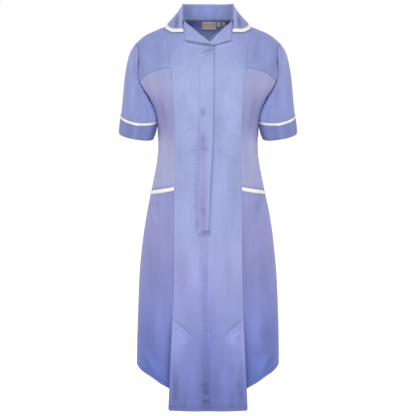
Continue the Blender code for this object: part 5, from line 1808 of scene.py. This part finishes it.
def revers_sheet(side):
    """Straight rows from a short top edge to the lower edge, over a quarter-circle roll."""
    own = "left" if side > 0 else "right"
    low_x = finer(column(REVERS_ROWS, REVERS_COLUMNS, own + "_x"), 12)
    low_z = finer(column(REVERS_ROWS, REVERS_COLUMNS, own + "_z"), 12)
    across = np.linspace(0, 1, len(low_x))
    top_x = REVERS_TOP_INNER[0] + (REVERS_TOP_OUTER[0] - REVERS_TOP_INNER[0]) * across
    top_z = REVERS_TOP_INNER[1] + (REVERS_TOP_OUTER[1] - REVERS_TOP_INNER[1]) * across
    down = np.linspace(0, 1, 60)[:, None]
    x, z = top_x + (low_x - top_x) * down, top_z + (low_z - top_z) * down
    lift = np.full_like(x, LAYER + FACE_LIFT)
    if side < 0:
        lift += REVERS_TIP_LIFT * ease(REVERS_TIP_START - x, 0, REVERS_TIP_RUN)
    flat_points, _ = laid_out(np.stack([angle_at(x, z), z, lift], -1), side)
    from_roll = np.clip(arc(flat_points, 1) / ROLL_RADIUS, 0, 1)
    lift -= LAYER * 0.9 * (1 - np.sqrt(1 - (1 - from_roll) ** 2))
    lift += 0.0012 * near(arc(flat_points, 1) - 0.012, 0.010)
    points, normals = laid_out(np.stack([angle_at(x, z), z, lift], -1), side)
    from_roll = arc(points, 1)
    # Painted highlight along the roll's edge, with a painted shade beside it.
    painted_shading = 0.13 * near(from_roll - 0.0030, 0.0028) - 0.05 * near(from_roll - 0.0100, 0.0040)
    return raised(points, normals, np.zeros_like(x), painted_shading=painted_shading)


for own, side in (("left", 1), ("right", -1)):
    name = f"revers_{own}"
    facing = revers_sheet(side)
    sewn(
        name + "_cloth", [facing], "revers", name,
        thickness=0.0014, height=arc(facing[0], 0)[-1, -1],
    )

# %% [markdown]
# ## Labels
# A woven label and two small tabs are sewn into the back neck seam. They are bare here.

# %% Labels
LABEL_COLUMNS = ("left", "right", "top", "bottom")
LABELS = {
    "neck_label": (-0.0165, 0.0222, -0.0032, -0.0224),
    "size_tab": (0.0246, 0.0361, -0.0030, -0.0150),
    "care_tab": (0.0400, 0.0500, -0.0034, -0.0126),
}
LABEL_LIFT = -0.0021


def label_sheet(name):
    """A rectangle inside the back, facing the front, with a slight curl at its foot."""
    size = dict(zip(LABEL_COLUMNS, LABELS[name]))
    x, z = np.meshgrid(
        np.linspace(size["left"], size["right"], 20),
        np.linspace(size["top"], size["bottom"], 14),
    )
    angle = math.pi - np.sign(x) * (math.pi - angle_at(np.abs(x), z, back=True))
    curl = (size["top"] - z) / (size["top"] - size["bottom"])
    lift = LABEL_LIFT - 0.0005 - 0.0010 * curl**2 + 0.0003 * np.sin(x / 0.004)
    points, normals = laid_out(np.stack([angle, z, lift], -1), 1)
    return points, -normals


for name in LABELS:
    sewn(name + "_tape", [label_sheet(name)], "label", name, thickness=0.0007)

# %% [markdown]
# ## Stitching
# The visible stitching is lockstitch, about 2.8 mm a stitch, with a thread half a
# millimetre thick that lies a little into the cloth. It holds the fly, the hems, the
# pleats' tops, the pocket bindings, the collar and the cuffs' bands. Every stitch is a
# small spindle, and all of them are one mesh.

# %% Stitching
STITCH_PITCH = 0.0028
STITCH_LENGTH = 0.0022
THREAD_RADIUS = 0.00028
THREAD_SIDES = 5
BLUE_THREAD = 0.80
PALE_THREAD = 1.00
WHITE_THREAD = 0.92


def inset_line(sheet, edge, inset):
    """The line at a distance of inset from one edge of a sheet's grid."""
    points, normals = sheet[:2]
    if edge in ("left", "right"):
        points, normals = points.transpose(1, 0, 2), normals.transpose(1, 0, 2)
    if edge in ("bottom", "right"):
        points, normals = points[::-1], normals[::-1]
    down = arc(points, 0)
    column_number = np.arange(down.shape[1])
    row = np.clip((down < inset).sum(0), 1, len(down) - 1)
    before, after = down[row - 1, column_number], down[row, column_number]
    t = ((inset - before) / (after - before))[:, None]
    mixed = [grid[row - 1, column_number] * (1 - t) + grid[row, column_number] * t for grid in (points, normals)]
    return mixed[0], unit(mixed[1])


def drawn_line(sheet, places, side=1):
    """A line given by (x, z) corners, laid on the nearest part of a sheet's grid."""
    corners = np.array(places, float) * [side, 1]
    length = np.concatenate([[0], np.cumsum(np.hypot(*np.diff(corners, axis=0).T))])
    along = np.arange(0, length[-1], 0.0015)
    x, z = np.interp(along, length, corners[:, 0]), np.interp(along, length, corners[:, 1])
    points, normals = sheet[0].reshape(-1, 3), sheet[1].reshape(-1, 3)
    away = (x[:, None] - points[:, 0]) ** 2 + (z[:, None] - points[:, 2]) ** 2
    nearest = away.argmin(1)
    at, normal = points[nearest], normals[nearest]
    y = at[:, 1] - ((x - at[:, 0]) * normal[:, 0] + (z - at[:, 2]) * normal[:, 2]) / normal[:, 1]
    return np.stack([x, y, z], 1), normal


def stitches_along(line, panel, level):
    """Ends, normals and colours of the stitches along a line, at an even pitch."""
    points, normals = line
    walked = np.concatenate([[0], np.cumsum(np.linalg.norm(np.diff(points, axis=0), axis=1))])
    at = np.arange(2 * STITCH_PITCH, walked[-1] - STITCH_PITCH, STITCH_PITCH)
    start, end, normal = (
        np.stack([np.interp(place, walked, values[:, k]) for k in range(3)], 1)
        for place, values in (
            (at - STITCH_LENGTH / 2, points),
            (at + STITCH_LENGTH / 2, points),
            (at, normals),
        )
    )
    return start, end, unit(normal), TONES[panel]((start + end) / 2) * level


stitch_lines = [
    (drawn_line(surfaces["front_right"], [(x, z) for z, x in FLY_LINE]), "front_right", BLUE_THREAD),
    (inset_line(surfaces["back"], "bottom", HEM_STITCH), "back", BLUE_THREAD),
    (inset_line(surfaces["collar"], "bottom", 0.0020), "collar", BLUE_THREAD),
    (inset_line(surfaces["collar"], "top", 0.0040), "collar", BLUE_THREAD),
    (inset_line(surfaces["collar"], "top", 0.0100), "collar", BLUE_THREAD),
]
PLEAT_STITCHES = ((0.0955, -0.8005), (0.0440, -0.8480))
for own, side in (("left", 1), ("right", -1)):
    front, skirt, binding = (surfaces[f"{part}_{own}"] for part in ("front", "skirt_side", "pocket_trim"))
    band = [np.concatenate([grid, grid[:, :1]], 1) for grid in surfaces[f"cuff_trim_{own}"][:2]]
    stitch_lines += [
        (inset_line(front, "bottom", HEM_STITCH), f"front_{own}", BLUE_THREAD),
        (drawn_line(front, PLEAT_STITCHES, side), f"front_{own}", PALE_THREAD),
        (inset_line(skirt, "bottom", HEM_STITCH), "skirt_side", BLUE_THREAD),
        (inset_line(skirt, "top", TRIM_WIDTH + 0.0060), "skirt_side", BLUE_THREAD),
        (inset_line(binding, "bottom", 0.0016), "trim", WHITE_THREAD),
        (inset_line(band, "bottom", 0.0016), "trim", WHITE_THREAD),
    ]
parts = [stitches_along(*line) for line in stitch_lines]
start, end, normal, colour = (np.concatenate(group) for group in zip(*parts))
across = unit(np.cross(end - start, normal))
middle = normal * THREAD_RADIUS * 0.4
spoke = np.linspace(0, 2 * math.pi, THREAD_SIDES, endpoint=False)[:, None, None]
ring = THREAD_RADIUS * (np.cos(spoke) * across + np.sin(spoke) * normal) + middle
third = (end - start) * 0.22
stitch_points = np.concatenate([[start + middle * 0], start + third + ring, end - third + ring, [end + middle * 0]])
stitch_points = stitch_points.transpose(1, 0, 2)
k = np.arange(THREAD_SIDES)
following = (k + 1) % THREAD_SIDES
first, second, last = 1 + k, 1 + THREAD_SIDES + k, 1 + 2 * THREAD_SIDES
pattern = np.concatenate(
    [
        np.stack([0 * k, 1 + following, first], 1),
        np.stack([first, 1 + following, second], 1),
        np.stack([1 + following, 1 + THREAD_SIDES + following, second], 1),
        np.stack([second, 1 + THREAD_SIDES + following, 0 * k + last], 1),
    ]
)
stitch_faces = pattern[None] + (last + 1) * np.arange(len(start))[:, None, None]
flat_points = stitch_points.reshape(-1, 3)
stitching = mesh_object(
    "stitching",
    flat_points,
    stitch_faces.reshape(-1, 3),
    flat_points[:, [0, 2]],
    FINISHES["dress_cloth"],
    np.repeat(colour, last + 1, 0),
)
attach(stitching, "root")
print(len(start), "stitches")

# %% [markdown]
# ## Floor
# A plain pale floor lies well below the hem, since a wearer's legs would be there.

# %% Floor
FLOOR_Z = -1.50
FLOOR_HALF = 14.0

corner = FLOOR_HALF * np.array([[-1, -1], [1, -1], [1, 1], [-1, 1.0]])
floor_points = np.column_stack([corner, np.full(4, FLOOR_Z)])
floor_finish = bpy.data.materials.new("floor_finish")
floor_finish.use_nodes = True
floor_shader = floor_finish.node_tree.nodes["Principled BSDF"]
floor_shader.inputs["Base Color"].default_value = (0.93, 0.93, 0.93, 1.0)
floor_shader.inputs["Roughness"].default_value = 0.9
floor_shader.inputs["Emission Color"].default_value = (1, 1, 1, 1)
floor_shader.inputs["Emission Strength"].default_value = 0.25
floor = mesh_object("floor", floor_points, np.array([[0, 1, 2, 3]]), corner, floor_finish)
